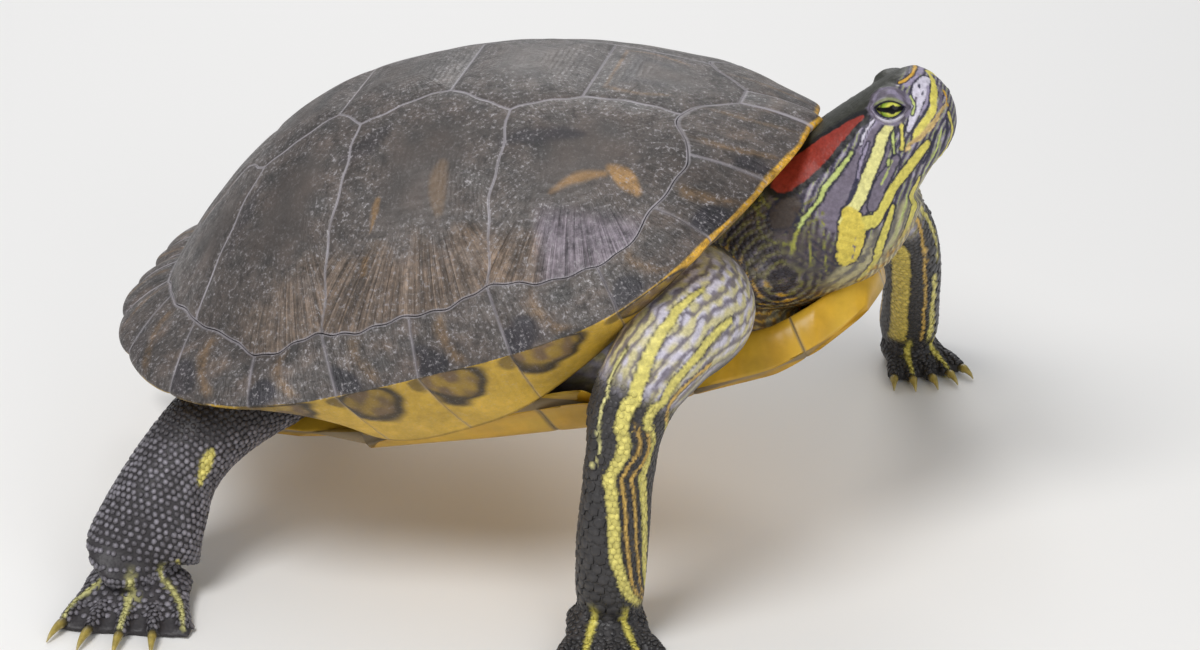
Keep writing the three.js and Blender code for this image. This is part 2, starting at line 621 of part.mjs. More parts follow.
function footSolid(leg) {
  const forward = THREE.MathUtils.degToRad(leg.heading);
  const at = (reach, height, half, depth) => [
    leg.heel[0] + Math.cos(forward) * reach, leg.heel[1] + Math.sin(forward) * reach, height, half, depth,
  ];
  const web = leg.web * leg.digit;
  const palm = loft([
    at(-3.5, 3.4, leg.width * 0.6, 3.0), at(1, 4.0, leg.width * 0.92, 4.6),
    at(leg.palm * 0.5, 3.4, leg.width, 4.2),
    at(leg.palm * 0.85, 2.2, leg.width * 1.12, 2.8),
    at(leg.palm * 0.85 + web * 0.6, 1.1, leg.width * 1.25, 1.5),
    at(leg.palm * 0.8 + web, 0.6, leg.width * 1.2, 0.9),
  ], [0, 0, 1], 10, 4);
  const digits = Array.from({ length: leg.digits }, (_, k) => loft(digitStations(leg, k), [0, 0, 1], 5, 2));
  return digits.reduce((whole, digit) => whole.add(digit), palm);
}

function clawSolid(leg, k) {
  const { start, heading, length } = digitLayout(leg, k);
  const claw = leg.digit * 0.62;
  const at = (reach, height, half) => [
    start[0] + Math.cos(heading) * reach, start[1] + Math.sin(heading) * reach, height, half, half * 1.15,
  ];
  return loft([
    at(length + 5 * GAP, 2.1, CLAW_RADIUS), at(length + claw * 0.55, 2.0, CLAW_RADIUS * 0.7),
    at(length + claw, 0.7, 0.25),
  ], [0, 0, 1], 5, 1);
}

// ---------------------------------------------------------------- tail

const TAIL_STATIONS = [
  [-52, 0, 42, 14, 10], [-68, 0, 37, 12, 9], [-81, 1, 33, 8.5, 7.5], [-92, 4, 28, 5.8, 5.6],
  [-101, 9, 23, 3.8, 3.8], [-107, 15, 19, 2.2, 2.3], [-110, 20, 17, 0.9, 1.0],
];

// ---------------------------------------------------------------- assembly

function material(colour, roughness) {
  return new THREE.MeshStandardMaterial({ color: colour, roughness, metalness: 0 });
}

function named(name, solid, colour, roughness, detail = SLIVER) {
  const mesh = new THREE.Mesh(toGeometry(solid, detail), material(colour, roughness));
  mesh.name = name;
  return mesh;
}

const turtle = new THREE.Group();
const shell = new THREE.Group();
shell.rotation.y = -SHELL_PITCH;
shell.position.z = SHELL_CENTRE_HEIGHT;
shell.updateMatrix();
turtle.add(shell);

const SIDES = [['left', 1], ['right', -1]];
const RUNS = [['1_3', 0, 4], ['4_6', 4, 7], ['7_9', 7, 10], ['10_12', 10, LAST]];
const PLASTRON_NAMES = ['gular', 'humeral', 'pectoral', 'abdominal', 'femoral', 'anal'];

shell.add(named('nuchal', nuchalPlate(), SHELL_DARK, 0.6));
for (let number = 0; number < 5; number += 1) {
  shell.add(named(`vertebral_${number + 1}`, carapacePlate(vertebralOutline(number)), SHELL_DARK, 0.6));
}
for (const [word, side] of SIDES) {
  for (let number = 0; number < 4; number += 1) {
    const plate = carapacePlate(costalOutline(number, side));
    shell.add(named(`costal_${word}_${number + 1}`, plate, SHELL_DARK, 0.6));
  }
  for (const [run, from, to] of RUNS) {
    shell.add(named(`marginal_${word}_${run}`, marginalBand(from, to, side), SHELL_DARK, 0.6));
  }
}
PLASTRON_NAMES.forEach((word, number) => {
  shell.add(named(`plastron_${word}`, plastronPlate(number), SHELL_YELLOW, 0.5));
});

// What the flesh is trimmed against: the shell's plates and the trunk, each a gap larger.
const plateCutters = [
  nuchalPlate(GAP * 2.5),
  ...SIDES.flatMap(([, side]) => RUNS.map(([, from, to]) => marginalBand(from, to, side, GAP * 2.5))),
  ...PLASTRON_NAMES.map((word, number) => plastronPlate(number, GAP * 3.6)),
];
shell.add(named('trunk', mainBody(cutAll(trunkBody(), plateCutters)), SKIN_DARK, 0.7, FLESH_SLIVER));
const place = shell.matrix.toArray();
const shellCutters = [trunkBody(GAP), ...plateCutters].map((solid) => solid.transform(place));
const floorCutter = toSolid(block([-200, -200, -60], [200, 200, 0]));

const headSide = toSolid(block([NECK_CUT, -60, -60], [60, 60, 60])).transform(headMatrix.toArray());
const neckSide = toSolid(block([NECK_CUT - GAP, -60, -60], [60, 60, 60])).transform(headMatrix.toArray());
const headAndNeck = cutAll(headLoft().add(neckLoft()), shellCutters);
const lids = SIDES.map(([, side]) => lidBall(side).subtract(lidOpening(side)));
const jawRegion = headAndNeck.intersect(jawSpace());
const eyeSpaces = SIDES.flatMap(([, side]) => [eyeball(side, GAP), lidOpening(side)]);
const lidded = lids.reduce((whole, lid) => whole.add(lid), headAndNeck.intersect(headSide));
const headBody = cutAll(lidded, [jawSpace(GAP), ...eyeSpaces]);
const neckBody = headAndNeck.subtract(neckSide);
turtle.add(named('head', mainBody(headBody), SKIN_DARK, 0.6, FLESH_SLIVER));
turtle.add(named('lower_jaw', mainBody(jawRegion), SKIN_DARK, 0.6, FLESH_SLIVER));
turtle.add(named('neck', mainBody(neckBody), SKIN_DARK, 0.7, FLESH_SLIVER));
for (const [word, side] of SIDES) {
  turtle.add(named(`eye_${word}`, eyeball(side), IRIS_GREEN, 0.1));
}

for (const [name, leg] of Object.entries(LEGS)) {
  const whole = loft(leg.limb, [0.3, 0, 1], 10, 7).add(footSolid(leg));
  const trimmed = cutAll(whole, [...shellCutters, headSide, neckLoft(GAP), floorCutter]);
  turtle.add(named(name, mainBody(trimmed), SKIN_DARK, 0.7, FLESH_SLIVER));
  const clawName = name.replace('leg', 'claw');
  for (let k = 0; k < leg.claws; k += 1) {
    turtle.add(named(`${clawName}_${k + 1}`, clawSolid(leg, k), HORN, 0.4));
  }
}
const tail = cutAll(loft(TAIL_STATIONS, [0, 0, 1], 8, 7), shellCutters);
turtle.add(named('tail', mainBody(tail), SKIN_DARK, 0.7, FLESH_SLIVER));

// The origin is the middle of the bounding box, at floor level.
turtle.updateMatrixWorld(true);
const bounds = new THREE.Box3().setFromObject(turtle, true);
turtle.position.set(-(bounds.min.x + bounds.max.x) / 2, -(bounds.min.y + bounds.max.y) / 2, 0);

export default turtle;
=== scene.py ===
"""Red-eared slider turtle, life size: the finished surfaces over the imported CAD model.

Lengths are millimetres over the floor, x towards the head and y to the animal's left, and are
turned to metres when a mesh is made. The shell is shaped in its own frame and tipped up in front,
the head in its own frame, origin midway between the eyes.
"""

import bmesh
import bpy
import numpy as np
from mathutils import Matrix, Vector
from mathutils.bvhtree import BVHTree


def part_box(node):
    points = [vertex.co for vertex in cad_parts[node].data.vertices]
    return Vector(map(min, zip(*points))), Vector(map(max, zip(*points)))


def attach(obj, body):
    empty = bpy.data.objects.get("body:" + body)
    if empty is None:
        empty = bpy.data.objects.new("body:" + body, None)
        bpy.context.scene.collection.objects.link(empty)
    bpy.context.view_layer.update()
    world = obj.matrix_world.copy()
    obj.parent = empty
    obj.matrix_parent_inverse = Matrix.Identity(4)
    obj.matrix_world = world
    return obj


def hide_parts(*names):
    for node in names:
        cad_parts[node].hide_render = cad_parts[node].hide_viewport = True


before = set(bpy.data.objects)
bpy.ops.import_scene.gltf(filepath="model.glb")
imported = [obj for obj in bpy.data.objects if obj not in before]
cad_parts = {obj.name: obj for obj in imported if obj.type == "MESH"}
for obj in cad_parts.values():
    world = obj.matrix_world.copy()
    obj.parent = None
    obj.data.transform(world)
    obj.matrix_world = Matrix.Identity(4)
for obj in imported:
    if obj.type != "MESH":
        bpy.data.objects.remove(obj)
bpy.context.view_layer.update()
rng = np.random.default_rng(11)

# ------------------------------------------------------------------ measures, as in the CAD

SHELL_LENGTH = 190.0
SHELL_HALF_WIDTH = 0.385
DOME_HEIGHT = 0.285
DOME_APEX = -0.05
DOME_HALF_LENGTH = 0.51
DOME_OUTLINE = 2.3
DOME_ROUNDING = 2.15
FRONT_RISE = 0.1
REAR_RISE = 0.087
PLASTRON_LEVEL = -0.151
BRIDGE_LEVEL = -0.100
SHELL_PITCH = np.radians(19)
SHELL_CENTRE_HEIGHT = 68.0
PLATE = 2.6
PLASTRON_PLATE = 3.6
LIP_EDGE = 1.6
LIP_FRONT = 9.5
LIP_REAR = 5.5
LIP_WIDTH = 7.5
BODY_UNDER_PLATES = 4.4
HEAD_CENTRE = np.array([97.7, 3.0, 120.0])
HEAD_PITCH = np.radians(48)
HEAD_YAW = np.radians(12)
HEAD_ROLL = np.radians(-8)
EYE_RADIUS = 4.5
EYE_OFFSET = 6.9
CLAW_RADIUS = 1.15

COAT = 0.35                    # how far the skin lies inside the CAD's flesh, under its scales
SEAM_HALF_GAP = 0.03
UP = np.array([0.0, 0.0, 1.0])
LIMB_UP = np.array([0.3, 0.0, 1.0])


# ------------------------------------------------------------------ arithmetic

def unit(v):
    return v / np.maximum(np.linalg.norm(v, axis=-1, keepdims=True), 1e-12)


def ease(t):
    """Smooth step from 0 to 1."""
    t = np.clip(t, 0, 1)
    return t * t * (3 - 2 * t)


def mix(a, b, t):
    """a where t is 0 and b where t is 1, for rows of colours or points."""
    t = np.asarray(t)[..., None]
    return a * (1 - t) + b * t


def through(rows, index):
    """Smooth curve through rows (uniform Catmull-Rom), read at fractional row numbers."""
    rows = np.asarray(rows, float)
    index = np.clip(index, 0, len(rows) - 1)
    padded = np.vstack([2 * rows[0] - rows[1], rows, 2 * rows[-1] - rows[-2]])
    i = np.minimum(np.asarray(index).astype(int), len(rows) - 2)
    t = (index - i)[..., None]
    before, start, end, after = (padded[i + k] for k in range(4))
    leave = (end - before) / 2
    arrive = (after - start) / 2
    return ((2 * t**3 - 3 * t**2 + 1) * start + (t**3 - 2 * t**2 + t) * leave
            + (3 * t**2 - 2 * t**3) * end + (t**3 - t**2) * arrive)


def turn(axis, angle):
    """Rotation matrix about axis 0, 1 or 2."""
    c, s = np.cos(angle), np.sin(angle)
    i, j = [(1, 2), (2, 0), (0, 1)][axis]
    matrix = np.eye(3)
    matrix[i, i] = matrix[j, j] = c
    matrix[i, j], matrix[j, i] = -s, s
    return matrix


def ripple(points, size, seed):
    """Smooth value about -1 to 1: six sine waves with fixed random directions, size mm long."""
    waves = np.random.default_rng(seed)
    total = np.zeros(points.shape[:-1])
    for _ in range(6):
        direction = unit(waves.normal(size=points.shape[-1]))
        total += np.sin(points @ direction * (2 * np.pi / size * waves.uniform(0.7, 1.5))
                        + waves.uniform(0, 6.3))
    return total / 3.2


HEAD_TURN = turn(2, HEAD_YAW) @ turn(1, -HEAD_PITCH) @ turn(0, HEAD_ROLL)
SHELL_TURN = turn(1, -SHELL_PITCH)

eye_centres = [sum(map(np.array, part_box(f"eye_{word}"))) / 2 for word in ("left", "right")]
# The CAD is centred on its bounding box: this moves every point the same way.
SHIFT = sum(eye_centres) / 2 * 1000 - HEAD_CENTRE


def from_shell(points):
    """Places about the shell's middle, tilted and raised as the shell stands, in mm."""
    return points @ SHELL_TURN.T + [0, 0, SHELL_CENTRE_HEIGHT]


def from_head(points):
    """Places on the head, turned and moved to where the head is held, in mm."""
    return points @ HEAD_TURN.T + HEAD_CENTRE


def to_head(points):
    """The way back from from_head."""
    return (points - HEAD_CENTRE) @ HEAD_TURN


# ------------------------------------------------------------------ colours and meshes

def colour(code):
    """Linear colour of an sRGB hex value."""
    srgb = np.array([int(code[i:i + 2], 16) for i in (1, 3, 5)]) / 255
    return np.where(srgb <= 0.04045, srgb / 12.92, ((srgb + 0.055) / 1.055) ** 2.4)


def rgba(code):
    return (*colour(code), 1.0)


def closed_faces(rings, around):
    """Faces of rings of points between two poles, numbered pole, rings, pole."""
    here = 1 + np.arange(rings * around).reshape(rings, around)
    beside = np.roll(here, -1, axis=1)
    quads = np.stack([here[:-1], beside[:-1], beside[1:], here[1:]], -1).reshape(-1, 4)
    first = np.stack([np.zeros(around, int), beside[0], here[0]], -1)
    last = np.stack([np.full(around, rings * around + 1), here[-1], beside[-1]], -1)
    return [quads, first, last]


def closed_points(first, rings, last):
    """The points of the rings in order, between the two poles."""
    return np.vstack([np.asarray(first)[None], rings.reshape(-1, rings.shape[-1]),
                      np.asarray(last)[None]])


def join_bodies(bodies):
    """One set of points and faces from several."""
    points = np.vstack([body[0] for body in bodies])
    faces, start = [], 0
    for body_points, body_faces in bodies:
        faces += [part + start for part in body_faces]
        start += len(body_points)
    return points, faces


def triangles_of(faces):
    """Faces split into triangles that fan out from each face's first corner."""
    parts = [part[:, [0, k, k + 1]] for part in faces for k in range(1, part.shape[1] - 1)]
    return np.vstack(parts)


def closed_body(rings, first=None, last=None):
    """A closed body on a grid of rings: its points, with a pole at each end, in the end ring's
    middle or where it is given, and its faces, turned outward."""
    first = rings[0].mean(0) if first is None else first
    last = rings[-1].mean(0) if last is None else last
    points = closed_points(first, rings, last)
    return points, outward(points, closed_faces(*rings.shape[:2]))


def outward(points, faces):
    """The faces, turned over if the closed surface's signed volume is negative."""
    a, b, c = (points[triangles_of(faces)[:, k]] for k in range(3))
    volume = np.einsum("ij,ij->i", a, np.cross(b, c)).sum()
    return [part[:, ::-1] for part in faces] if volume < 0 else faces


def make_mesh(name, points, faces, attributes=None):
    """Mesh from arrays. points are millimetres over the floor before the CAD's centring shift;
    attributes gives arrays of one, three (vector) or, by the name tint, colour values a point."""
    mesh = bpy.data.meshes.new(name)
    mesh.vertices.add(len(points))
    mesh.vertices.foreach_set("co", ((points + SHIFT) * 0.001).astype(np.float32).ravel())
    corners = np.concatenate([part.ravel() for part in faces])
    sizes = np.concatenate([np.full(len(part), part.shape[1]) for part in faces])
    mesh.loops.add(len(corners))
    mesh.loops.foreach_set("vertex_index", corners.astype(np.int32))
    mesh.polygons.add(len(sizes))
    mesh.polygons.foreach_set("loop_start", np.concatenate([[0],
                                                            np.cumsum(sizes)[:-1]]).astype(np.int32))
    mesh.polygons.foreach_set("use_smooth", np.ones(len(sizes), bool))
    mesh.update(calc_edges=True)
    set_attributes(mesh, attributes or {})
    return mesh


def set_attributes(mesh, attributes):
    """Store a value for each point under each key: tint as a colour, rows as vectors."""
    for key, values in attributes.items():
        values = np.asarray(values, np.float32)
        if key == "tint":
            layer = mesh.color_attributes.new(name=key, type="FLOAT_COLOR", domain="POINT")
            full = np.ones((len(values), 4), np.float32)
            full[:, :3] = np.clip(values, 0, 1)
            layer.data.foreach_set("color", full.ravel())
        elif values.ndim == 2:
            mesh.attributes.new(key, "FLOAT_VECTOR", "POINT").data.foreach_set("vector", values.ravel())
        else:
            mesh.attributes.new(key, "FLOAT", "POINT").data.foreach_set("value", values)


def piece(name, mesh, material, replaced=()):
    """A finished piece on the one body, with its material, slot and the CAD nodes it stands for."""
    obj = bpy.data.objects.new(name, mesh)
    bpy.context.scene.collection.objects.link(obj)
    mesh.materials.append(material)
    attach(obj, "root")
    if replaced:
        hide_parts(*replaced)
    return obj


def grid_normals(points):
    """Unit normals of a grid whose columns close on themselves."""
    down = np.gradient(points, axis=0)
    across = np.roll(points, -1, axis=1) - np.roll(points, 1, axis=1)
    return unit(np.cross(down, across))


def arc_length(points, axis):
    """Distance along a grid's rows or columns from their first point."""
    steps = np.linalg.norm(np.diff(points, axis=axis), axis=-1)
    start = np.zeros_like(np.take(steps, [0], axis=axis))
    return np.concatenate([start, np.cumsum(steps, axis=axis)], axis=axis)


def folded(points):
    """The points with each y turned to the positive side."""
    return np.hstack([points[:, :1], np.abs(points[:, 1:2]), points[:, 2:]])


def capped(values, extra=0, pole=None):
    """Values of a grid's points and its two poles, which take the grid's own end values or the
    value pole. The last value is repeated for extra points in between."""
    first, last = (values[:1], values[-1:]) if pole is None else [np.full_like(values[:1], pole)] * 2
    return np.concatenate([first, values, np.repeat(values[-1:], extra, 0), last])


def stroke_gap(points, path, steps=4):
    """How far each point lies outside a stroke: its distance to the nearest stretch of the smooth
    path less the half-width there. Path rows are a point's coordinates and the half-width, mm."""
    path = np.asarray(path, float)
    if len(path) > 2:
        path = through(path, np.linspace(0, len(path) - 1, (len(path) - 1) * steps + 1))
    best = np.full(len(points), 1e9)
    for start, end in zip(path[:-1], path[1:]):
        run = end[:-1] - start[:-1]
        t = np.clip(((points - start[:-1]) @ run) / (run @ run + 1e-9), 0, 1)
        off = np.linalg.norm(points - start[:-1] - t[:, None] * run, axis=1)
        best = np.minimum(best, off - start[-1] - (end[-1] - start[-1]) * t)
    return best


# ------------------------------------------------------------------ materials

def add_node(tree, kind, inputs=None, **settings):
    """A node with its settings, and each input linked to a socket or set to a value."""
    node = tree.nodes.new(kind)
    for key, value in settings.items():
        setattr(node, key, value)
    for key, value in (inputs or {}).items():
        if isinstance(value, bpy.types.NodeSocket):
            tree.links.new(value, node.inputs[key])
        else:
            node.inputs[key].default_value = value
    return node


def new_material(name):
    material = bpy.data.materials.new(name)
    material.use_nodes = True
    material.node_tree.nodes.clear()
    return material, material.node_tree


def finish_material(material, inputs):
    """The material, its surface a principled shader with these inputs."""
    shader = add_node(material.node_tree, "ShaderNodeBsdfPrincipled", inputs)
    add_node(material.node_tree, "ShaderNodeOutputMaterial", {"Surface": shader.outputs[0]})
    return material


def own_place(tree):
    return add_node(tree, "ShaderNodeTexCoord").outputs["Object"]


def attribute(tree, name, kind="Fac"):
    """An attribute of the mesh, read as a value, a colour or a vector."""
    return add_node(tree, "ShaderNodeAttribute", attribute_name=name).outputs[kind]


def noise(tree, place, scale, detail, roughness=0.5):
    return add_node(tree, "ShaderNodeTexNoise", {"Vector": place, "Scale": scale, "Detail": detail,
                                                 "Roughness": roughness}).outputs["Fac"]


def spread(tree, value, low, high, first, last):
    """The value, spread from low and high to first and last and held at both ends."""
    return add_node(tree, "ShaderNodeMapRange",
                    {0: value, 1: low, 2: high, 3: first, 4: last}).outputs[0]


def maths(tree, operation, *values):
    return add_node(tree, "ShaderNodeMath", dict(enumerate(values)), operation=operation).outputs[0]


def scaled(tree, tint, gain):
    return add_node(tree, "ShaderNodeVectorMath", {0: tint, "Scale": gain},
                    operation="SCALE").outputs[0]


def toward(tree, share, tint, other):
    """The first colour, moved towards the other by share."""
    return add_node(tree, "ShaderNodeMix", {0: share, 6: tint, 7: other}, data_type="RGBA").outputs[2]


def bumped(tree, relief, strength, distance):
    return add_node(tree, "ShaderNodeBump", {"Height": relief, "Strength": strength,
                                             "Distance": distance}).outputs[0]


FULL_TURN = 6.2832             # one growth ring for each unit of the growth attribute
KERATIN_IOR = 1.54
RING_DEPTH = 0.0003            # of growth rings and streaks, m
PEBBLE_DEPTH = 0.0002
FLAKED_HORN = "#a9a4a6"
SEAM_GREY = "#a9a3a8"
BELLY_SEAM = "#8d7d64"


def scute_keratin():
    """Scute keratin, grown in layers and worn by water: satin, with radial streaks, fine growth
    rings and pale specks where the newest layer flakes."""
    material, tree = new_material("scute_keratin")
    place = own_place(tree)
    ridged = attribute(tree, "ridged")
    # fan is in millimetres round the plate's rim and nearly constant along a radius
    streaks = noise(tree, attribute(tree, "fan", "Vector"), 0.75, 3.0, 0.6)
    mottling = noise(tree, place, 330.0, 7.0, 0.78)
    clouds = noise(tree, place, 70.0, 3.0)
    specks = noise(tree, place, 1100.0, 3.0, 0.7)        # about 0.4 mm across
    # the yellow undersides, where ridged is 0, are nearly clear of mottling
    upper = spread(tree, ridged, 0.0, 0.1, 0.25, 1.0)
    dark = spread(tree, mottling, 0.34, 0.66, 0.38, 1.55)
    dark = add_node(tree, "ShaderNodeMix", {0: upper, 2: 1.0, 3: dark}).outputs[0]
    toned = scaled(tree, attribute(tree, "tint", "Color"), dark)
    toned = scaled(tree, toned, spread(tree, clouds, 0.35, 0.65, 0.78, 1.2))
    depth = maths(tree, "MULTIPLY", spread(tree, streaks, 0.36, 0.64, -1.0, 1.0), ridged)
    toned = scaled(tree, toned, maths(tree, "MULTIPLY_ADD", depth, 0.5, 1.0))
    flaked = maths(tree, "MULTIPLY", spread(tree, specks, 0.54, 0.66, 0.0, 0.85),
                   spread(tree, mottling, 0.42, 0.6, 0.25, 1.0))
    flaked = maths(tree, "MULTIPLY", flaked, upper)
    base = toward(tree, flaked, toned, rgba(FLAKED_HORN))
    base = toward(tree, attribute(tree, "seam"), base, rgba(SEAM_GREY))
    wave = maths(tree, "MULTIPLY", attribute(tree, "growth"), FULL_TURN)
    ring = maths(tree, "SINE", maths(tree, "MULTIPLY_ADD", mottling, 9.0, wave))
    relief = maths(tree, "MULTIPLY_ADD", ring, 0.05, mottling)
    relief = maths(tree, "MULTIPLY_ADD", depth, 1.3, relief)
    return finish_material(material, {
        "Base Color": base, "Roughness": spread(tree, mottling, 0.3, 0.7, 0.55, 0.33),
        "Normal": bumped(tree, relief, 0.85, RING_DEPTH), "IOR": KERATIN_IOR})


def belly_keratin():
    """Plastron keratin: smooth and wet-looking, with faint growth lines across each plate."""
    material, tree = new_material("plastron_keratin")
    clouds = noise(tree, own_place(tree), 120.0, 5.0, 0.6)
    toned = scaled(tree, attribute(tree, "tint", "Color"), spread(tree, clouds, 0.3, 0.7, 0.82, 1.16))
    base = toward(tree, attribute(tree, "seam"), toned, rgba(BELLY_SEAM))
    ring = maths(tree, "SINE", maths(tree, "MULTIPLY", attribute(tree, "growth"), FULL_TURN))
    relief = maths(tree, "MULTIPLY_ADD", ring, 0.18, clouds)
    return finish_material(material, {
        "Base Color": base, "Roughness": 0.3, "Normal": bumped(tree, relief, 0.25, RING_DEPTH),
        "IOR": KERATIN_IOR, "Specular IOR Level": 0.3})


def reptile_skin(name, roughness, pebble, depth):
    """Living reptile skin, damp: satin, with pebbles pebble mm across and a little colour grain."""
    material, tree = new_material(name)
    place = own_place(tree)
    cells = add_node(tree, "ShaderNodeTexVoronoi",
                     {"Vector": place, "Scale": 1000 / pebble}).outputs["Distance"]
    grain = noise(tree, place, 900.0, 4.0, 0.65)
    base = scaled(tree, attribute(tree, "tint", "Color"), spread(tree, grain, 0.3, 0.7, 0.78, 1.22))
    relief = maths(tree, "MULTIPLY_ADD", cells, -0.8, grain)
    return finish_material(material, {
        "Base Color": base, "Roughness": roughness, "IOR": 1.5, "Specular IOR Level": 0.32,
        "Normal": bumped(tree, relief, depth, PEBBLE_DEPTH)})


def cornea():
    """An eye's surface, wet: colour from the iris below, under a clear tear film."""
    material, tree = new_material("cornea")
    return finish_material(material, {
        "Base Color": attribute(tree, "tint", "Color"), "Roughness": 0.2, "IOR": 1.2,
        "Coat Weight": 0.25, "Coat Roughness": 0.02, "Coat IOR": 1.35})


def claw_horn():
    """Claw horn: hard keratin, dull olive-yellow, darker and streaked towards its root."""
    material, tree = new_material("claw_horn")
    gain = spread(tree, noise(tree, own_place(tree), 700.0, 3.0), 0.3, 0.7, 0.7, 1.25)
    return finish_material(material, {
        "Base Color": scaled(tree, attribute(tree, "tint", "Color"), gain), "Roughness": 0.32,
        "IOR": KERATIN_IOR})


# ------------------------------------------------------------------ shell surfaces
# Places on the shell are in shares of its length.

def rim_rise(x):
    """Height of the rim above its middle level: it sweeps up in front and behind as a power of x."""
    front = FRONT_RISE * (np.abs(x) / 0.49) ** 2.5
    rear = REAR_RISE * (np.abs(x) / 0.51) ** 2.2
    return np.where(x > 0, front, rear)


def dome_height(x, y):
    """Height of the dome over the plan: a rounded superellipse, lifted with the rim."""
    reach = np.where(x > DOME_APEX, DOME_HALF_LENGTH - DOME_APEX, DOME_HALF_LENGTH + DOME_APEX)
    along = np.abs((x - DOME_APEX) / reach) ** DOME_OUTLINE
    across = np.abs(y / SHELL_HALF_WIDTH) ** DOME_OUTLINE
    radius = np.minimum((along + across) ** (1 / DOME_OUTLINE), 1)
    return DOME_HEIGHT * (1 - radius**DOME_ROUNDING) + 0.5 * rim_rise(x)


def dome_point(x, y, depth):
    """Point of the dome in millimetres, moved inwards by depth along the surface's normal."""
    step = 0.01
    slope_x = (dome_height(x + step, y) - dome_height(x - step, y)) / (2 * step)
    slope_y = (dome_height(x, y + step) - dome_height(x, y - step)) / (2 * step)
    normal = unit(np.stack([-slope_x, -slope_y, np.ones_like(slope_x)], -1))
    point = np.stack([x, y, dome_height(x, y)], -1) * SHELL_LENGTH
    return point - normal * np.asarray(depth)[..., None]


PLASTRON_OUTLINE = np.array([
    [0.492, 0.045], [0.470, 0.078], [0.42, 0.122], [0.35, 0.156], [0.28, 0.180], [0.235, 0.200],
    [0.195, 0.250], [0.16, 0.300], [0.11, 0.312], [-0.10, 0.312], [-0.14, 0.295], [-0.18, 0.245],
    [-0.22, 0.212], [-0.29, 0.202], [-0.37, 0.172], [-0.43, 0.122], [-0.47, 0.070],
])


def plastron_half_width(x):
    return np.interp(x, PLASTRON_OUTLINE[::-1, 0], PLASTRON_OUTLINE[::-1, 1])


def plastron_underside(x, y):
    """Underside of the plastron: nearly flat, turned up at the front tip, rising to the bridge."""
    slope = np.where(x > 0, -0.095, -0.12)
    tip = 0.045 * np.clip((x - 0.36) / 0.14, 0, 1) ** 1.3
    level = PLASTRON_LEVEL + slope * x + tip
    outside = ease((np.abs(y) - 0.25) / 0.065) * ease((0.24 - np.abs(x + 0.005)) / 0.06)
    return level + (BRIDGE_LEVEL - level) * outside


def plastron_thickness(x, y):
    """Thickness in millimetres: the free lobes carry a lip, round in section, thin at its edge."""
    from_edge = (plastron_half_width(x) - np.abs(y)) * SHELL_LENGTH
    lobe = 1 - ease((0.24 - np.abs(x + 0.005)) / 0.06)
    height = np.where(x > 0, LIP_FRONT, LIP_REAR)
    rising = (height - LIP_EDGE) * np.sin(np.pi / 2 * np.clip(from_edge / LIP_WIDTH, 0, 1))
    falling = (PLASTRON_PLATE - height) * ease((from_edge - LIP_WIDTH) / LIP_WIDTH)
    return PLASTRON_PLATE + lobe * (LIP_EDGE + rising + falling - PLASTRON_PLATE)


# Corners of the plates in the plan, right and left alike.
VERTEBRAL_ENDS = [None, (0.215, 0.090), (0.040, 0.080), (-0.125, 0.082), (-0.285, 0.068)]
VERTEBRAL_CORNERS = [None, (0.128, 0.125), (-0.080, 0.114), (-0.235, 0.112)]
# Stations round the shell: 0 is the nuchal's corner, 1 where vertebral 1 meets costal 1, 2 to 12
# the seams between the marginals, 13 the middle of the back.
SEAM_INNER = np.array([
    [0.388, 0.022], [0.330, 0.085], [0.345, 0.152], [0.310, 0.232], [0.235, 0.300], [0.093, 0.322],
    [-0.015, 0.338], [-0.140, 0.335], [-0.240, 0.322], [-0.345, 0.248], [-0.410, 0.160],
    [-0.435, 0.100], [-0.447, 0.045], [-0.450, 0.0],
])
SEAM_RIM = np.array([
    [0.468, 0.020], [0.455, 0.075], [0.425, 0.135], [0.365, 0.235], [0.255, 0.335], [0.110, 0.362],
    [-0.015, 0.372], [-0.125, 0.385], [-0.245, 0.388], [-0.365, 0.345], [-0.455, 0.245],
    [-0.497, 0.145], [-0.510, 0.055], [-0.503, 0.0],
])
SEAM_UNDER = np.array([
    [0.410, 0.020, 0.066], [0.402, 0.066, 0.062], [0.372, 0.112, 0.048], [0.320, 0.198, 0.020],
    [0.235, 0.275, -0.030], [0.110, 0.318, -0.082], [0.005, 0.318, -0.104], [-0.110, 0.318, -0.098],
    [-0.215, 0.305, -0.034], [-0.310, 0.275, 0.010], [-0.392, 0.192, 0.046], [-0.428, 0.116, 0.064],
    [-0.443, 0.050, 0.072], [-0.440, 0.0, 0.072],
])
LAST = len(SEAM_INNER) - 1
SAMPLE = 0.7                   # spacing of points along a seam, mm


def waver(plan):
    """Seams wander a little: each plan point is moved by slow sine waves of its place. The shift
    dies away at the middle line, where the plates are symmetric."""
    x, y = plan[..., 0], np.abs(plan[..., 1])
    away = ease(y / 0.05)
    shift_x = 0.0028 * np.sin(58 * y + 31 * x) + 0.0012 * np.sin(140 * y + 9)
    shift_y = away * (0.0022 * np.sin(47 * x - 20 * y) + 0.0010 * np.sin(155 * x + 2))
    return plan + np.stack([shift_x, np.sign(plan[..., 1]) * shift_y], -1)


def seam(a, b):
    """Points from a up to but not including b, about every SAMPLE mm."""
    a, b = np.asarray(a, float), np.asarray(b, float)
    count = max(int(np.ceil(np.linalg.norm(b - a) * SHELL_LENGTH / SAMPLE)), 2)
    return a + (b - a) * np.arange(count)[:, None] / count


def along_inner(start, end):
    count = int(np.ceil(abs(end - start) * 26))
    return through(SEAM_INNER, start + (end - start) * np.arange(count) / count)


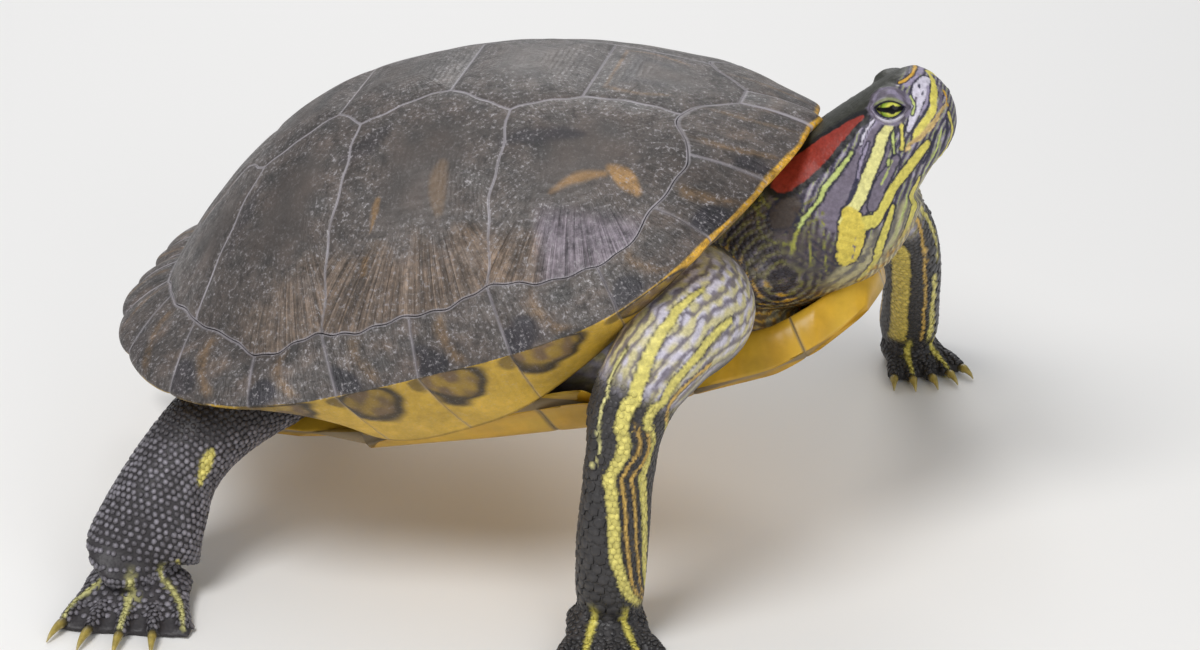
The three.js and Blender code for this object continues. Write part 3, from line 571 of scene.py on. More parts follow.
def vertebral_outline(number):
    """Ring of plan points round a vertebral plate, mirror-symmetric."""
    ends, inner = VERTEBRAL_ENDS, SEAM_INNER
    if number == 0:
        right = [along_inner(0, 1), seam(inner[1], ends[1]), [ends[1]]]
    elif number == 4:
        right = [seam(ends[4], inner[LAST - 2]), along_inner(LAST - 2, LAST), [inner[LAST]]]
    else:
        corner = VERTEBRAL_CORNERS[number]
        right = [seam(ends[number], corner), seam(corner, ends[number + 1]), [ends[number + 1]]]
    right = np.vstack(right)
    left = right[::-1] * [1, -1]
    return np.vstack([right, left])


def costal_outline(number):
    """Ring of plan points round a costal plate of the left side: in from the vertebrals to the
    marginals, along them, and back."""
    start, end = [(1, 5), (5, 7), (7, 9), (9, LAST - 2)][number]
    top = VERTEBRAL_ENDS[number + 1]
    front, back = VERTEBRAL_CORNERS[number], (VERTEBRAL_CORNERS + [None])[number + 1]
    into = [seam(top, front), seam(front, SEAM_INNER[start])] if front else [seam(top,
                                                                                  SEAM_INNER[start])]
    out = [seam(SEAM_INNER[end], back), seam(back, top)] if back else [seam(SEAM_INNER[end], top)]
    return np.vstack([*into, along_inner(start, end), *out])


# ------------------------------------------------------------------ colours of the shell

HORN_DARK = colour("#47423f")
HORN_BROWN = colour("#5c5049")
HORN_BLACK = colour("#242128")
# grey of a painted sheen low on the first costal's front
HORN_SHEEN_GREY = colour("#857b84")
HORN_TAN = colour("#8a7460")
ORANGE = colour("#94703f")
RIM_YELLOW = colour("#d6a22c")
BELLY_YELLOW = colour("#c9a233")
OCELLUS = colour("#6f573a")
OCELLUS_EDGE = colour("#3a2d18")

# Strokes on the carapace: plan x and y in mm from the middle of the shell, half-width in mm.
CARAPACE_STROKES = [
    (HORN_BLACK, 0.75, 2.4, [(23, 33, 1.2), (32, 31, 2.2), (42, 29.5, 0.8)]),
    (ORANGE, 0.85, 1.6, [(49, 37.5, 0.9), (52, 39, 2.2), (54.5, 41, 0.9)]),
    (ORANGE, 0.7, 1.2, [(35, 44, 0.4), (40, 41, 0.8), (47.5, 38.8, 0.5)]),
    (HORN_TAN, 0.35, 4.0, [(15, 52, 1), (19, 57, 3), (25, 59, 1)]),
    (ORANGE, 0.75, 0.9, [(-9, 43, 0.5), (-10, 46, 0.9), (-11, 49, 0.3)]),
    (ORANGE, 0.6, 0.9, [(-13, 54, 0.6), (-13.5, 56, 0.7)]),
    (ORANGE, 0.25, 1.8, [(8, 38, 1.2), (7, 42, 2.4), (7, 47, 1.2)]),
    (HORN_BLACK, 0.5, 2.4, [(-8, 26, 1.5), (-14, 30, 2.6), (-19, 32, 1)]),
    (HORN_BLACK, 0.4, 2.6, [(-45, 28, 1), (-50, 34, 2.8), (-54, 40, 1)]),
    (HORN_BLACK, 0.35, 2.2, [(56, 6, 1), (48, 7, 2), (42, 5, 1)]),
    (ORANGE, 0.35, 1.2, [(60, 10, 0.5), (52, 12.5, 0.8), (44, 12, 0.4)]),
    (ORANGE, 0.3, 1.4, [(-58, 14, 0.5), (-64, 16, 1), (-70, 14, 0.4)]),
]


def paint(base, gap, shade, strength=1.0, soft=0.5):
    """Lays a colour over base where gap (distance outside a mark, mm) falls below about zero."""
    return mix(base, shade, strength * ease(0.5 - gap / soft))


def paint_carapace(plan):
    """Colour and ridge strength on the big plates, from plan millimetres. The lower parts of the
    costals are browner and strongly ridged; the rest is dark with worn marks. A pale grey patch low
    on the first costal's front is a painted sheen, ridged as strongly."""
    place = folded(plan)
    x, y = place.T
    wander = ripple(place, 11, 3)
    low = ease((y - 50 - 3 * wander) / 7) * ease((58 - np.abs(x)) / 18)
    tint = mix(HORN_DARK, HORN_BROWN, 0.30 + 0.25 * wander)
    tint = mix(tint, HORN_TAN, 0.45 * low)
    # painted sheen: a pale grey patch low on the first costal's front, where the horn reflects light
    sheen_patch = ease((x - 29) / 5) * ease((y - 45) / 6)
    tint = mix(tint, HORN_SHEEN_GREY, 0.85 * sheen_patch)
    for shade, strength, soft, path in CARAPACE_STROKES:
        tint = paint(tint, stroke_gap(place, path) + 0.5 * wander, shade, strength, soft)
    ridged = 0.12 + 0.88 * np.maximum(low, sheen_patch)
    return tint, ridged


# ------------------------------------------------------------------ carapace plates

RING_ROWS = 50


def carapace_plate(name, outline, centre, side):
    """A big plate: its outline is drawn in towards the growth centre in rings that crowd at the
    edge, laid on the dome, sunk 0.3 mm at the seams by an exponential of the distance from the
    edge, and closed underneath."""
    outline = waver(outline) * SHELL_LENGTH
    centre = np.asarray(centre) * SHELL_LENGTH
    reach = np.linalg.norm(outline - centre, axis=1)
    outline = centre + (outline - centre) * (1 - SEAM_HALF_GAP / reach)[:, None]
    share = 1 - (1 - np.arange(1, RING_ROWS + 1) / RING_ROWS) ** 1.45
    plan = centre + (outline - centre)[None] * share[:, None, None]
    flat = plan.reshape(-1, 2)
    rim = dome_point(*(outline.T / SHELL_LENGTH), 0.0)
    top = dome_point(*(flat.T / SHELL_LENGTH), 0.0)
    edge = np.full(len(flat), 99.0)
    near = np.repeat(share > 0.4, len(outline))
    closed = np.hstack([np.vstack([rim, rim[:1]]), np.zeros((len(rim) + 1, 1))])
    edge[near] = stroke_gap(top[near], closed, 1)
    swell = 0.12 * ripple(flat, 16, 5)
    sunk = 0.3 * np.exp(-edge / 1.6) - 0.1 - swell * ease(edge / 6)
    top = dome_point(*(flat.T / SHELL_LENGTH), sunk).reshape(*plan.shape[:2], 3)
    wall = [dome_point(*(outline.T / SHELL_LENGTH), np.full(len(outline), d)) for d in (1.2, PLATE)]
    rings = np.concatenate([top, np.stack(wall)])
    pole = dome_point(centre[:1] / SHELL_LENGTH, centre[1:] / SHELL_LENGTH, np.array([-0.05]))[0]
    floor = dome_point(centre[:1] / SHELL_LENGTH, centre[1:] / SHELL_LENGTH, np.array([PLATE]))[0]
    mirrored = [1, side, 1]
    points, faces = closed_body(rings * mirrored, pole * mirrored, floor * mirrored)
    tint, ridged = paint_carapace(flat)
    round_rim = arc_length(outline, 0)
    angle = round_rim / (round_rim[-1] + SAMPLE) * 2 * np.pi
    radius = (round_rim[-1] + SAMPLE) / (2 * np.pi)
    fan = np.stack([radius * np.cos(angle), radius * np.sin(angle)], -1)
    fan = np.broadcast_to(fan[None], plan.shape).reshape(-1, 2)
    inward = np.repeat(share * reach.mean() * 0.06, len(outline))
    fan = np.hstack([fan, inward[:, None]])
    ridged = ridged * ease((np.repeat(share, len(outline)) - 0.25) / 0.5)
    growth = np.repeat(share, len(outline)) * reach.mean() / 1.7
    line = 0.85 * ease((0.45 - edge) / 0.3) * (0.75 + 0.25 * ripple(flat, 9, 8))
    extra = 2 * len(outline)
    mesh = make_mesh(name, from_shell(points), faces, {
        "tint": capped(tint, extra), "fan": capped(fan, extra), "growth": capped(growth, extra, 0),
        "seam": capped(line, extra, 0), "ridged": capped(ridged, extra, 0),
    })
    return piece(f"{name}_scute", mesh, materials["scute"], [name])


# ------------------------------------------------------------------ marginal plates

RIM_SAMPLES = 60
INSIDE_WHERE = [5.2, -0.2]     # where the section's two points inside lie along it


def marginal_section(t, notch):
    """Outer curve of the marginal band's section at seam position t: from the costal seam over
    the shoulder, round the rim and down to the plastron, then three points up inside. notch is
    how far the rim reaches out there, in mm. Returns shares of the shell's length."""
    inner = waver(through(SEAM_INNER, t))
    rim = through(SEAM_RIM, t)
    under = through(SEAM_UNDER, t)
    out = unit(rim - inner)
    rim = rim + out * notch[:, None] / SHELL_LENGTH
    lift = np.stack([np.zeros_like(t), np.zeros_like(t), np.ones_like(t)], -1)
    out = np.hstack([out, np.zeros((len(t), 1))])
    rim_middle = np.hstack([rim, rim_rise(rim[:, :1])])
    rim_top, rim_low = rim_middle + 0.006 * lift, rim_middle - 0.006 * lift
    seam_top = dome_point(inner[:, 0], inner[:, 1], 0.0) / SHELL_LENGTH
    seam_low = dome_point(inner[:, 0], inner[:, 1], PLATE) / SHELL_LENGTH
    gap = 2 * SEAM_HALF_GAP / SHELL_LENGTH
    shoulder = (seam_top + rim_top) / 2 + 0.004 * lift
    belly = (rim_low + under) / 2 + 0.006 * out
    corners = np.stack([seam_top + gap * out, shoulder, rim_top, rim_low, belly, under])
    where = np.linspace(0, 1, RIM_SAMPLES)
    where = 5 * (where + 0.035 * np.sin(2 * np.pi * where))
    outer = through(corners.reshape(6, -1), where).reshape(RIM_SAMPLES, len(t), 3)
    inside = np.stack([under + 0.016 * lift, seam_low + gap * out])
    return np.concatenate([outer, inside]).transpose(1, 0, 2), where


def paint_marginal(t, where, flat):
    """Colour on a marginal: t runs along the rim, where from the costal seam (0) over the rim
    (2 to 3) to the plastron (5). Dark above with black blotches before each seam and an orange
    bar on each plate; yellow below with a dark-ringed ocellus before each seam."""
    wander = ripple(flat, 7, 21)
    tint = mix(HORN_DARK, HORN_BROWN, 0.35 + 0.3 * wander)
    step = t - np.floor(t)
    front = ease((4.2 - t) / 1.2)
    bar = np.abs(step - 0.55 - 0.1 * np.sin(where * 2)) * 17 - 0.8
    tint = paint(tint, bar + wander * 0.6, ORANGE,
                 0.35 * ease(where * 2) * ease((2.2 - where) / 0.5), 2.2)
    blotch = np.hypot((step - 0.86) * 17 / 3.4, (where - 1.75) / 0.52) - 1 + 0.35 * wander
    tint = paint(tint, blotch, HORN_BLACK, 0.9 * ease((t - 1.2) / 0.8) * ease((11 - t) / 3), 0.45)
    tint = mix(tint, HORN_TAN, 0.25 * ease((0.5 - np.abs(where - 1.0)) / 0.5) * ease(wander))
    yellow = ease((where - 2.38 + 0.35 * front + 0.07 * wander) / 0.12)
    pale_below = np.where(where > 3.2, 1.0, 0.9)
    tint = mix(tint, BELLY_YELLOW * pale_below[:, None], yellow * (1 - 0.55 * ease((t - 9) / 2)))
    tint = mix(tint, RIM_YELLOW, yellow * front * ease((3.6 - where) / 0.8))
    ring = np.hypot((step - 0.70) * 17 / 6.4, (where - 3.15) / 0.92) - 1 + 0.12 * wander
    there = ease((t - 2.3) / 0.7) * ease((11.5 - t) / 1.5) * ease((where - 2.25) / 0.2)
    tint = paint(tint, ring, OCELLUS_EDGE * 0.8, there, 0.25)
    inside = ring + 0.27
    filled = mix(OCELLUS, mix(BELLY_YELLOW, OCELLUS_EDGE, 0.5), ease(0.5 + 0.8 * ripple(flat, 3.5, 33)))
    tint = mix(tint, filled, there * 0.9 * ease(0.5 - inside / 0.2))
    spot = np.hypot((step - 0.04) * 17 / 1.6, (where - 3.0) / 0.4) - 1 + 0.3 * wander
    return paint(tint, spot, OCELLUS_EDGE, 0.7 * there, 0.4)


def marginal_plate(name, start, end, side, replaced):
    """A marginal: the section carried from one seam to the next, its rim bowed out by a parabola
    between its seams so that the rear edge is faintly toothed, sunk at its seams, and capped."""
    count = int(np.ceil((end - start) * 34))
    along = np.linspace(0, 1, count)
    along = along - 0.06 * np.sin(4 * np.pi * along) / 2
    margin = SEAM_HALF_GAP / 18
    t = start + margin + (end - start - 2 * margin) * along
    tooth = 0.2 + 0.7 * ease((t - 7.5) / 3)
    sections, where = marginal_section(t, tooth * (1 - (2 * along - 1) ** 2) - 0.2)
    grid = sections * SHELL_LENGTH
    sideways = arc_length(grid, 0)
    edge_end = np.minimum(sideways, sideways[-1:] - sideways)
    edge_top = arc_length(grid, 1)
    edge = np.minimum(edge_end, edge_top)
    edge[:, RIM_SAMPLES:] = 9.0
    normals = grid_normals(grid)
    flip = np.sign((normals[:, 20] * [0, 0, 1]).sum(-1).mean())
    sunk = 0.28 * np.exp(-edge / 1.4) - 0.05
    sunk[:, RIM_SAMPLES - 6:] = 0
    grid = grid - flip * normals * sunk[..., None]
    points, faces = closed_body(grid * [1, side, 1])
    flat = grid.reshape(-1, 3)
    t_all = np.repeat(t, grid.shape[1])
    where_all = np.tile(np.concatenate([where, INSIDE_WHERE]), len(t))
    tint = paint_marginal(t_all, where_all, flat)
    over = 0.8 * ease((0.5 - edge.ravel()) / 0.3) * (0.75 + 0.25 * ripple(flat, 9, 8))
    under = ease((where_all - 2.4) / 0.3)
    line = over * (1 - 0.45 * under)
    fan = np.stack([t_all * 18, where_all * 1.5, np.zeros_like(t_all)], -1)
    growth = np.minimum(edge, 7).ravel() / 1.9
    ridged = 0.3 * (1 - under)
    mesh = make_mesh(name, from_shell(points), faces, {
        "tint": capped(tint), "fan": capped(fan), "growth": capped(growth), "seam": capped(line),
        "ridged": capped(ridged)})
    return piece(name, mesh, materials["scute"], replaced)


def nuchal_plate():
    """The small plate in the middle of the front rim: the first section, carried from one side to
    the other and bowed 2 mm forward in the middle."""
    lateral = np.linspace(-1, 1, 24)
    sections, where = marginal_section(np.zeros(24) + 0.001, np.zeros(24))
    grid = sections * SHELL_LENGTH
    towards_rim = np.clip((grid[..., 0] - grid[:, :1, 0]) / (grid[0, 24, 0] - grid[0, 0, 0]), 0, 1)
    grid[..., 0] += 2 * towards_rim * (1 - np.abs(lateral))[:, None]
    grid[..., 1] *= lateral[:, None] * (1 - SEAM_HALF_GAP / 4)
    edge = np.minimum(arc_length(grid, 1), arc_length(grid, 0))
    edge = np.minimum(edge, arc_length(grid, 0)[-1:] - arc_length(grid, 0))
    edge[:, RIM_SAMPLES:] = 9.0
    points, faces = closed_body(grid)
    flat = grid.reshape(-1, 3)
    where_all = np.tile(np.concatenate([where, INSIDE_WHERE]), len(lateral))
    tint = paint_marginal(np.full(len(flat), 0.3), where_all, flat)
    line = 0.8 * ease((0.5 - edge.ravel()) / 0.3)
    fan = np.stack([flat[:, 1], where_all, np.zeros(len(flat))], -1)
    mesh = make_mesh("nuchal_plate", from_shell(points), faces, {
        "tint": capped(tint), "fan": capped(fan), "growth": capped(edge.ravel() / 2),
        "seam": capped(line), "ridged": capped(np.full(len(flat), 0.2))})
    return piece("nuchal_plate", mesh, materials["scute"], ["nuchal"])


# ------------------------------------------------------------------ plastron

PLASTRON_SEAMS = [
    (0.492, -0.012), (0.370, 0.032), (0.285, -0.025), (0.085, 0.010), (-0.130, -0.050),
    (-0.285, -0.075), (-0.448, -0.022),
]
PLASTRON_NAMES = ["gular", "humeral", "pectoral", "abdominal", "femoral", "anal"]
GOLD = colour("#cf9f2c")
DEEP_ORANGE = colour("#b57420")
SMUDGE = colour("#4b4438")


def plastron_plate(number):
    """A pair of plastron plates between two cross seams: a section that runs fore and aft, carried
    from edge to edge, with the middle seam and a smudge on each side."""
    front_x, front_shift = PLASTRON_SEAMS[number]
    rear_x, rear_shift = PLASTRON_SEAMS[number + 1]
    even = np.linspace(-1, 1, 121)
    lateral = even + 0.09 * np.sin(np.pi * even)
    share = np.linspace(0, 1, 40)
    loop = np.concatenate([share, share[::-1]])
    top = np.repeat([0.0, 1.0], len(share))
    gap = SEAM_HALF_GAP / SHELL_LENGTH
    front = (front_x + front_shift * lateral**2 - gap)[:, None]
    rear = (rear_x + rear_shift * lateral**2 + gap)[:, None]
    x = front + (rear - front) * loop
    half = plastron_half_width(x)
    y = lateral[:, None] * (half - gap)
    floor = plastron_underside(x, y) * SHELL_LENGTH
    rise = plastron_thickness(x, lateral[:, None] * half)
    grid = np.stack([x * SHELL_LENGTH, y * SHELL_LENGTH, floor + top * rise], -1)
    # the first plate's front and the last plate's rear are free, so they carry no seam
    from_front = loop + (number == 0)
    from_rear = 1 - loop + (number == len(PLASTRON_NAMES) - 1)
    ends = np.minimum(from_front, from_rear)[None] * np.abs(front - rear) * SHELL_LENGTH
    middle = np.abs(grid[..., 1])
    edge = np.minimum(ends, middle)
    groove = 0.25 * np.exp(-edge / 0.7)
    grid[..., 2] += np.where(top > 0.5, 0, groove)
    points, faces = closed_body(grid)
    flat = grid.reshape(-1, 3)
    wander = ripple(flat, 14, 41)
    tint = mix(GOLD, BELLY_YELLOW, 0.4 + 0.4 * wander)
    from_edge = ((half - np.abs(y)) * SHELL_LENGTH).ravel()
    below = (top < 0.5)[None].repeat(len(lateral), 0).ravel()
    tint = mix(tint, DEEP_ORANGE, 0.22 * ease((3.5 + 2 * wander - from_edge) / 3) * below)
    smudge_x = (front_x + rear_x) / 2 * SHELL_LENGTH
    smudge_y = plastron_half_width((front_x + rear_x) / 2) * SHELL_LENGTH * (0.5 if number else 0.62)
    size = 6.5 if number else 4.5
    off = np.hypot(flat[:, 0] - smudge_x, np.abs(flat[:, 1]) - smudge_y)
    tint = paint(tint, off - size + 1.6 * ripple(flat, 6, 50 + number), SMUDGE,
                 (0.75 if number else 0.4) * below, 2.0)
    line = 0.9 * ease((0.5 - edge.ravel()) / 0.3)

    name = f"plastron_{PLASTRON_NAMES[number]}_pair"
    mesh = make_mesh(name, from_shell(points), faces, {
        "tint": capped(tint), "growth": capped(ends.ravel() / 2.6), "seam": capped(line)})
    return piece(name, mesh, materials["belly"], [f"plastron_{PLASTRON_NAMES[number]}"])


# ------------------------------------------------------------------ flesh: lofts and the trunk

SOLE_RING = np.array([
    [0.385, 0.018], [0.375, 0.060], [0.360, 0.095], [0.320, 0.130], [0.245, 0.165], [0.110, 0.230],
    [-0.015, 0.238], [-0.110, 0.230], [-0.205, 0.172], [-0.285, 0.155], [-0.345, 0.115],
    [-0.378, 0.070], [-0.388, 0.030], [-0.390, 0.0],
])
NECK_STATIONS = [
    [40, 0, 78, 24, 16], [58, 0, 80.5, 25, 19.5], [70, 0, 84.5, 24.5, 21.5], [80, 0, 89, 21.5, 21.8],
    [88, 0, 95.5, 18, 20], [96, 1.5, 104, 13.5, 15],
]
# Stations of the head: x, half-width, crown, underside, height of the widest place.
HEAD_STATIONS = np.array([
    [-32, 13.0, 10.2, -23.0, -5], [-26, 14.4, 10.2, -23.5, -5], [-19, 14.8, 9.2, -22.5, -5],
    [-12, 14.0, 8.0, -21.0, -5], [-5, 12.4, 6.6, -19.2, -4], [1, 10.8, 5.4, -18.6, -4],
    [6, 8.6, 4.2, -16.4, -4.5], [9.2, 6.2, 2.4, -12.8, -5], [11.0, 3.3, -0.6, -8.8, -5],
])
TAIL_STATIONS = [
    [-52, 0, 42, 14, 10], [-68, 0, 37, 12, 9], [-81, 1, 33, 8.5, 7.5], [-92, 4, 28, 5.8, 5.6],
    [-101, 9, 23, 3.8, 3.8], [-107, 15, 19, 2.2, 2.3], [-110, 20, 17, 0.9, 1.0],
]
LEGS = {
    "fore_right": dict(
        limb=[
            [48, -22, 79, 14, 13], [59, -38, 77.5, 14, 13.5], [54.5, -53, 74, 12.5, 12.5],
            [48, -62, 63, 10.4, 10], [45.7, -64.5, 47, 10, 8.2], [44.3, -65.5, 30, 10.2, 8.9],
            [43.5, -65.5, 15, 10, 8.8], [43, -64.5, 7, 8.4, 8],
        ],
        heel=[41.5, -63], heading=-72, palm=17, width=10.5, spread=60, claws=5, digit=10.5, web=0.45),
    "fore_left": dict(
        limb=[
            [52, 22, 84, 13, 12], [68, 36, 80, 13, 12], [82, 50, 72, 11.5, 11],
            [91.5, 62, 59, 9.2, 9], [93.5, 73, 44, 8.4, 8], [92.3, 84, 28, 8.2, 7.6],
            [90.3, 95, 14, 8.6, 7.6], [89.6, 99.5, 7, 7.6, 7],
        ],
        heel=[88.5, 102], heading=-58, palm=15, width=9, spread=44, claws=5, digit=8.5, web=0.45),
    "hind_right": dict(
        limb=[
            [-42, -24, 46, 14, 12], [-54, -40, 43, 12.5, 12], [-63.5, -53, 37, 11.4, 11],
            [-69.5, -62.5, 29, 11.5, 9.5], [-72.5, -70.5, 20, 13.2, 8.5], [-74.5, -75, 12, 14.4, 7.6],
            [-75, -76, 6, 12.5, 6],
        ],
        heel=[-75.5, -73], heading=-83, palm=18, width=14, spread=38, claws=4, digit=13, web=0.7),
    "hind_left": dict(
        limb=[
            [-42, 24, 46, 14, 12], [-54, 40, 42, 12.5, 12], [-63, 52, 35, 11.4, 11],
            [-71, 60, 27, 11.5, 9.5], [-76.5, 65.5, 19, 13.2, 8.5], [-79.5, 68.5, 12, 14.4, 7.6],
            [-80.5, 69.5, 6, 12.5, 6],
        ],
        heel=[-79, 67], heading=122, palm=18, width=14, spread=42, claws=4, digit=13, web=0.7),
}
DIGITS = 5


def loft_frame(stations, up, index):
    """Centre, tangent, side and depth directions and half-sizes of a loft at station numbers."""
    stations = np.asarray(stations, float)
    index = np.asarray(index, float)
    last = len(stations) - 1
    ahead = through(stations[:, :3], np.minimum(index + 0.05, last))
    tangent = unit(ahead - through(stations[:, :3], np.maximum(index - 0.05, 0)))
    side = unit(np.cross(tangent, up))
    depth = np.cross(side, tangent)
    return through(stations[:, :3], index), tangent, side, depth, through(stations[:, 3:5], index)


def loft_surface(stations, up, index, angle, grow=0.0):
    """Points of a loft: an ellipse of the interpolated half-sizes, swollen by grow, round the
    path."""
    centre, _, side, depth, half = loft_frame(stations, up, index)
    half = half + grow
    return (centre + side * (half[..., :1] * np.cos(angle)[..., None])
            + depth * (half[..., 1:] * np.sin(angle)[..., None]))


def loft_body(stations, up, along, around, grow):
    """Closed loft between its first and last stations, as points and faces."""
    index = np.linspace(0, len(stations) - 1, along)[:, None].repeat(around, 1)
    angle = np.linspace(0, 2 * np.pi, around, endpoint=False)[None].repeat(along, 0)
    rings = loft_surface(stations, up, index, angle, grow)
    return closed_body(rings)


def trunk_body(grow):
    """The body inside the shell: under the dome, down inside the marginals, in at the skin of the
    front and rear openings, and flat on the plastron. Each row is a ring round the shell."""
    around = 156
    step = np.arange(around)
    side = np.where(step <= around // 2, 1, -1)
    t = LAST * np.where(step <= around // 2, step, around - step) / (around / 2)
    swell = grow / SHELL_LENGTH
    inner, under, sole = through(SEAM_INNER, t), through(SEAM_UNDER, t), through(SOLE_RING, t)
    inwards = unit(np.stack([inner[:, 0] - DOME_APEX, inner[:, 1]], -1))
    inwards3 = np.hstack([inwards, np.zeros((around, 1))])
    free = (1 - ease((3.6 - np.abs(t - 6.0)) / 1.6))[:, None]

    def plastron_top(x, y):
        return plastron_underside(x, y) + (PLASTRON_PLATE + 0.9 - grow) / SHELL_LENGTH

    rows = []
    edge = inner + inwards * (swell - 0.026)
    for share in np.linspace(0.02, 1, 30):
        x = DOME_APEX + (edge[:, 0] - DOME_APEX) * share
        rows.append(dome_point(x, edge[:, 1] * share, BODY_UNDER_PLATES - grow))
    lip = under + inwards3 * (swell - 0.010)
    lip[:, 2:] += 0.008 + 0.022 * (1 - free)
    wall = np.hstack([(under[:, :2] + sole) / 2,
                      np.zeros((around, 1))]) + inwards3 * (swell - 0.012 - 0.03 * free)
    wall[:, 2] = (under[:, 2] + plastron_top(sole[:, 0], sole[:, 1])) / 2 + 0.004
    foot = np.hstack([sole + inwards * swell, np.zeros((around, 1))])
    foot[:, 2] = plastron_top(foot[:, 0], foot[:, 1])
    middle = np.zeros((around, 3))
    middle[:, 2] = plastron_top(0.0, 0.0)
    corners = [rows[-1]] + [row * SHELL_LENGTH for row in (lip, wall, foot, middle)]
    for start, end, steps in zip(corners[:-1], corners[1:], (14, 16, 16, 30)):
        for k in range(1, steps + 1):
            rows.append(start + (end - start) * k / (steps + (steps == 30)))
    rings = np.stack(rows) * np.stack([np.ones(around), side, np.ones(around)], -1)[None]
    points, faces = closed_body(rings)
    return from_shell(points), faces


def head_section(x, angle, grow):
    """Point of the head's surface in the head's frame: two half superellipses, over and under the
    widest place, at the distance x along the head."""
    station = np.interp(x, HEAD_STATIONS[:, 0], np.arange(len(HEAD_STATIONS)))
    _, wide, crown, low, level = through(HEAD_STATIONS, station).T
    sine, cosine = np.sin(angle), np.cos(angle)
    reach = np.where(sine > 0, crown - level, level - low) + grow
    y = (wide + grow) * np.sign(cosine) * np.abs(cosine) ** 0.86
    z = level + reach * np.sign(sine) * np.abs(sine) ** 0.86
    return np.stack([through(HEAD_STATIONS, station)[:, 0], y, z], -1)


def head_body(grow):
    along, around = 60, 72
    x = np.interp(np.linspace(0, 8, along), np.arange(9), HEAD_STATIONS[:, 0])
    angle = np.linspace(0, 2 * np.pi, around, endpoint=False)
    rings = head_section(np.repeat(x, around), np.tile(angle, along), grow).reshape(along, around, 3)
    nose = rings[-1].mean(0) + [0.5 + grow, 0, 0]
    points, faces = closed_body(rings, last=nose)
    return from_head(points), faces


def ball_body(centre, radius, rows=24, around=36):
    """Sphere from latitude and longitude."""
    latitude = np.linspace(0, np.pi, rows + 2)[1:-1, None]
    longitude = np.linspace(0, 2 * np.pi, around, endpoint=False)[None]
    rings = np.stack([np.sin(latitude) * np.cos(longitude), np.sin(latitude) * np.sin(longitude),
                      np.cos(latitude) * np.ones_like(longitude)], -1) * radius + centre
    return closed_body(rings, centre + [0, 0, radius], centre - [0, 0, radius])


def digit_layout(leg, k):
    """Start, heading and length of digit k: the digits fan out from the front of the palm."""
    share = k / (DIGITS - 1) - 0.5
    heading = np.radians(leg["heading"] + share * leg["spread"])
    forward = np.radians(leg["heading"])
    across = share * leg["width"] * 1.7
    start = (np.array(leg["heel"]) + leg["palm"] * 0.72 * np.array([np.cos(forward), np.sin(forward)])
             + across * np.array([-np.sin(forward), np.cos(forward)]))
    return start, np.array([np.cos(heading), np.sin(heading)]), leg["digit"] * (1 - 1.1 * share**2)


def digit_stations(leg, k):
    start, way, length = digit_layout(leg, k)
    rows = [(-3, 2.6, 2.2, 3.0), (length * 0.3, 2.4, 2.1, 2.8), (length * 0.7, 2.2, 1.8, 2.4),
            (length, 2.0, 1.5, 1.9)]
    return np.array([[*(start + way * reach), height, half, deep] for reach, height, half,
                     deep in rows])


def palm_stations(leg):
    forward = np.radians(leg["heading"])
    way = np.array([np.cos(forward), np.sin(forward)])
    palm, width, web = leg["palm"], leg["width"], leg["web"] * leg["digit"]
    rows = [(-3.5, 3.4, width * 0.6, 3.0), (1, 4.0, width * 0.92, 4.6), (palm * 0.5, 3.4, width, 4.2),
            (palm * 0.85, 2.2, width * 1.12, 2.8), (palm * 0.85 + web * 0.6, 1.1, width * 1.25, 1.5),
            (palm * 0.8 + web, 0.6, width * 1.2, 0.9)]
    return np.array([[*(leg["heel"] + way * reach), height, half, deep] for reach, height, half,
                     deep in rows])


def flesh_bodies():
    """Every body of flesh, drawn in by the depth of the coat: they overlap and are fused."""
    bodies = [trunk_body(-COAT), head_body(-COAT), loft_body(NECK_STATIONS, UP, 60, 80, -COAT),
              loft_body(TAIL_STATIONS, UP, 60, 40, -0.25)]
    for side in (1, -1):
        centre = from_head(np.array([[0, side * EYE_OFFSET, 0]]))[0]
        bodies.append(ball_body(centre, LID_RADIUS))
    for leg in LEGS.values():
        bodies.append(loft_body(leg["limb"], LIMB_UP, 70, 56, -COAT))
        bodies.append(loft_body(palm_stations(leg), UP, 40, 60, -0.25))
        bodies += [loft_body(digit_stations(leg, k), UP, 20, 24, -0.15) for k in range(DIGITS)]
    return bodies


# ------------------------------------------------------------------ one skin

LID_RADIUS = 5.35
SKIN_VOXEL = 0.7


def evaluated(obj):
    """The object's mesh with its modifiers applied; the object is taken away."""
    bpy.context.scene.collection.objects.link(obj)
    graph = bpy.context.evaluated_depsgraph_get()
    graph.update()
    mesh = bpy.data.meshes.new_from_object(obj.evaluated_get(graph))
    bpy.data.objects.remove(obj)
    return mesh


def mesh_points(mesh):
    """The mesh's points in mm, without the shift to the frame's origin."""
    points = np.empty(len(mesh.vertices) * 3, np.float32)
    mesh.vertices.foreach_get("co", points)
    return points.reshape(-1, 3).astype(float) * 1000 - SHIFT


def store_points(mesh, points):
    """Put points in mm back into the mesh."""
    mesh.vertices.foreach_set("co", ((points + SHIFT) * 0.001).astype(np.float32).ravel())
    mesh.update()


def mesh_edges(mesh):
    """The two point numbers of each edge."""
    edges = np.empty(len(mesh.edges) * 2, np.int32)
    mesh.edges.foreach_get("vertices", edges)
    return edges.reshape(-1, 2)


def relaxed(points, edges, rounds, amount):
    """Laplacian smoothing: each point moves by amount of the way to its neighbours' mean, with a
    second pass outwards (Taubin) so that the body keeps its volume."""
    count = np.bincount(edges.ravel(), minlength=len(points))[:, None]
    amount = np.broadcast_to(np.asarray(amount, float).reshape(-1, 1), (len(points), 1))
    for step in range(2 * rounds):
        total = np.zeros_like(points)
        for axis in range(3):
            total[:, axis] = (np.bincount(edges[:, 0], points[edges[:, 1], axis], len(points))
                              + np.bincount(edges[:, 1], points[edges[:, 0], axis], len(points)))
        shift = total / count - points
        points = points + shift * amount * (1.0 if step % 2 == 0 else -0.9)
    return points


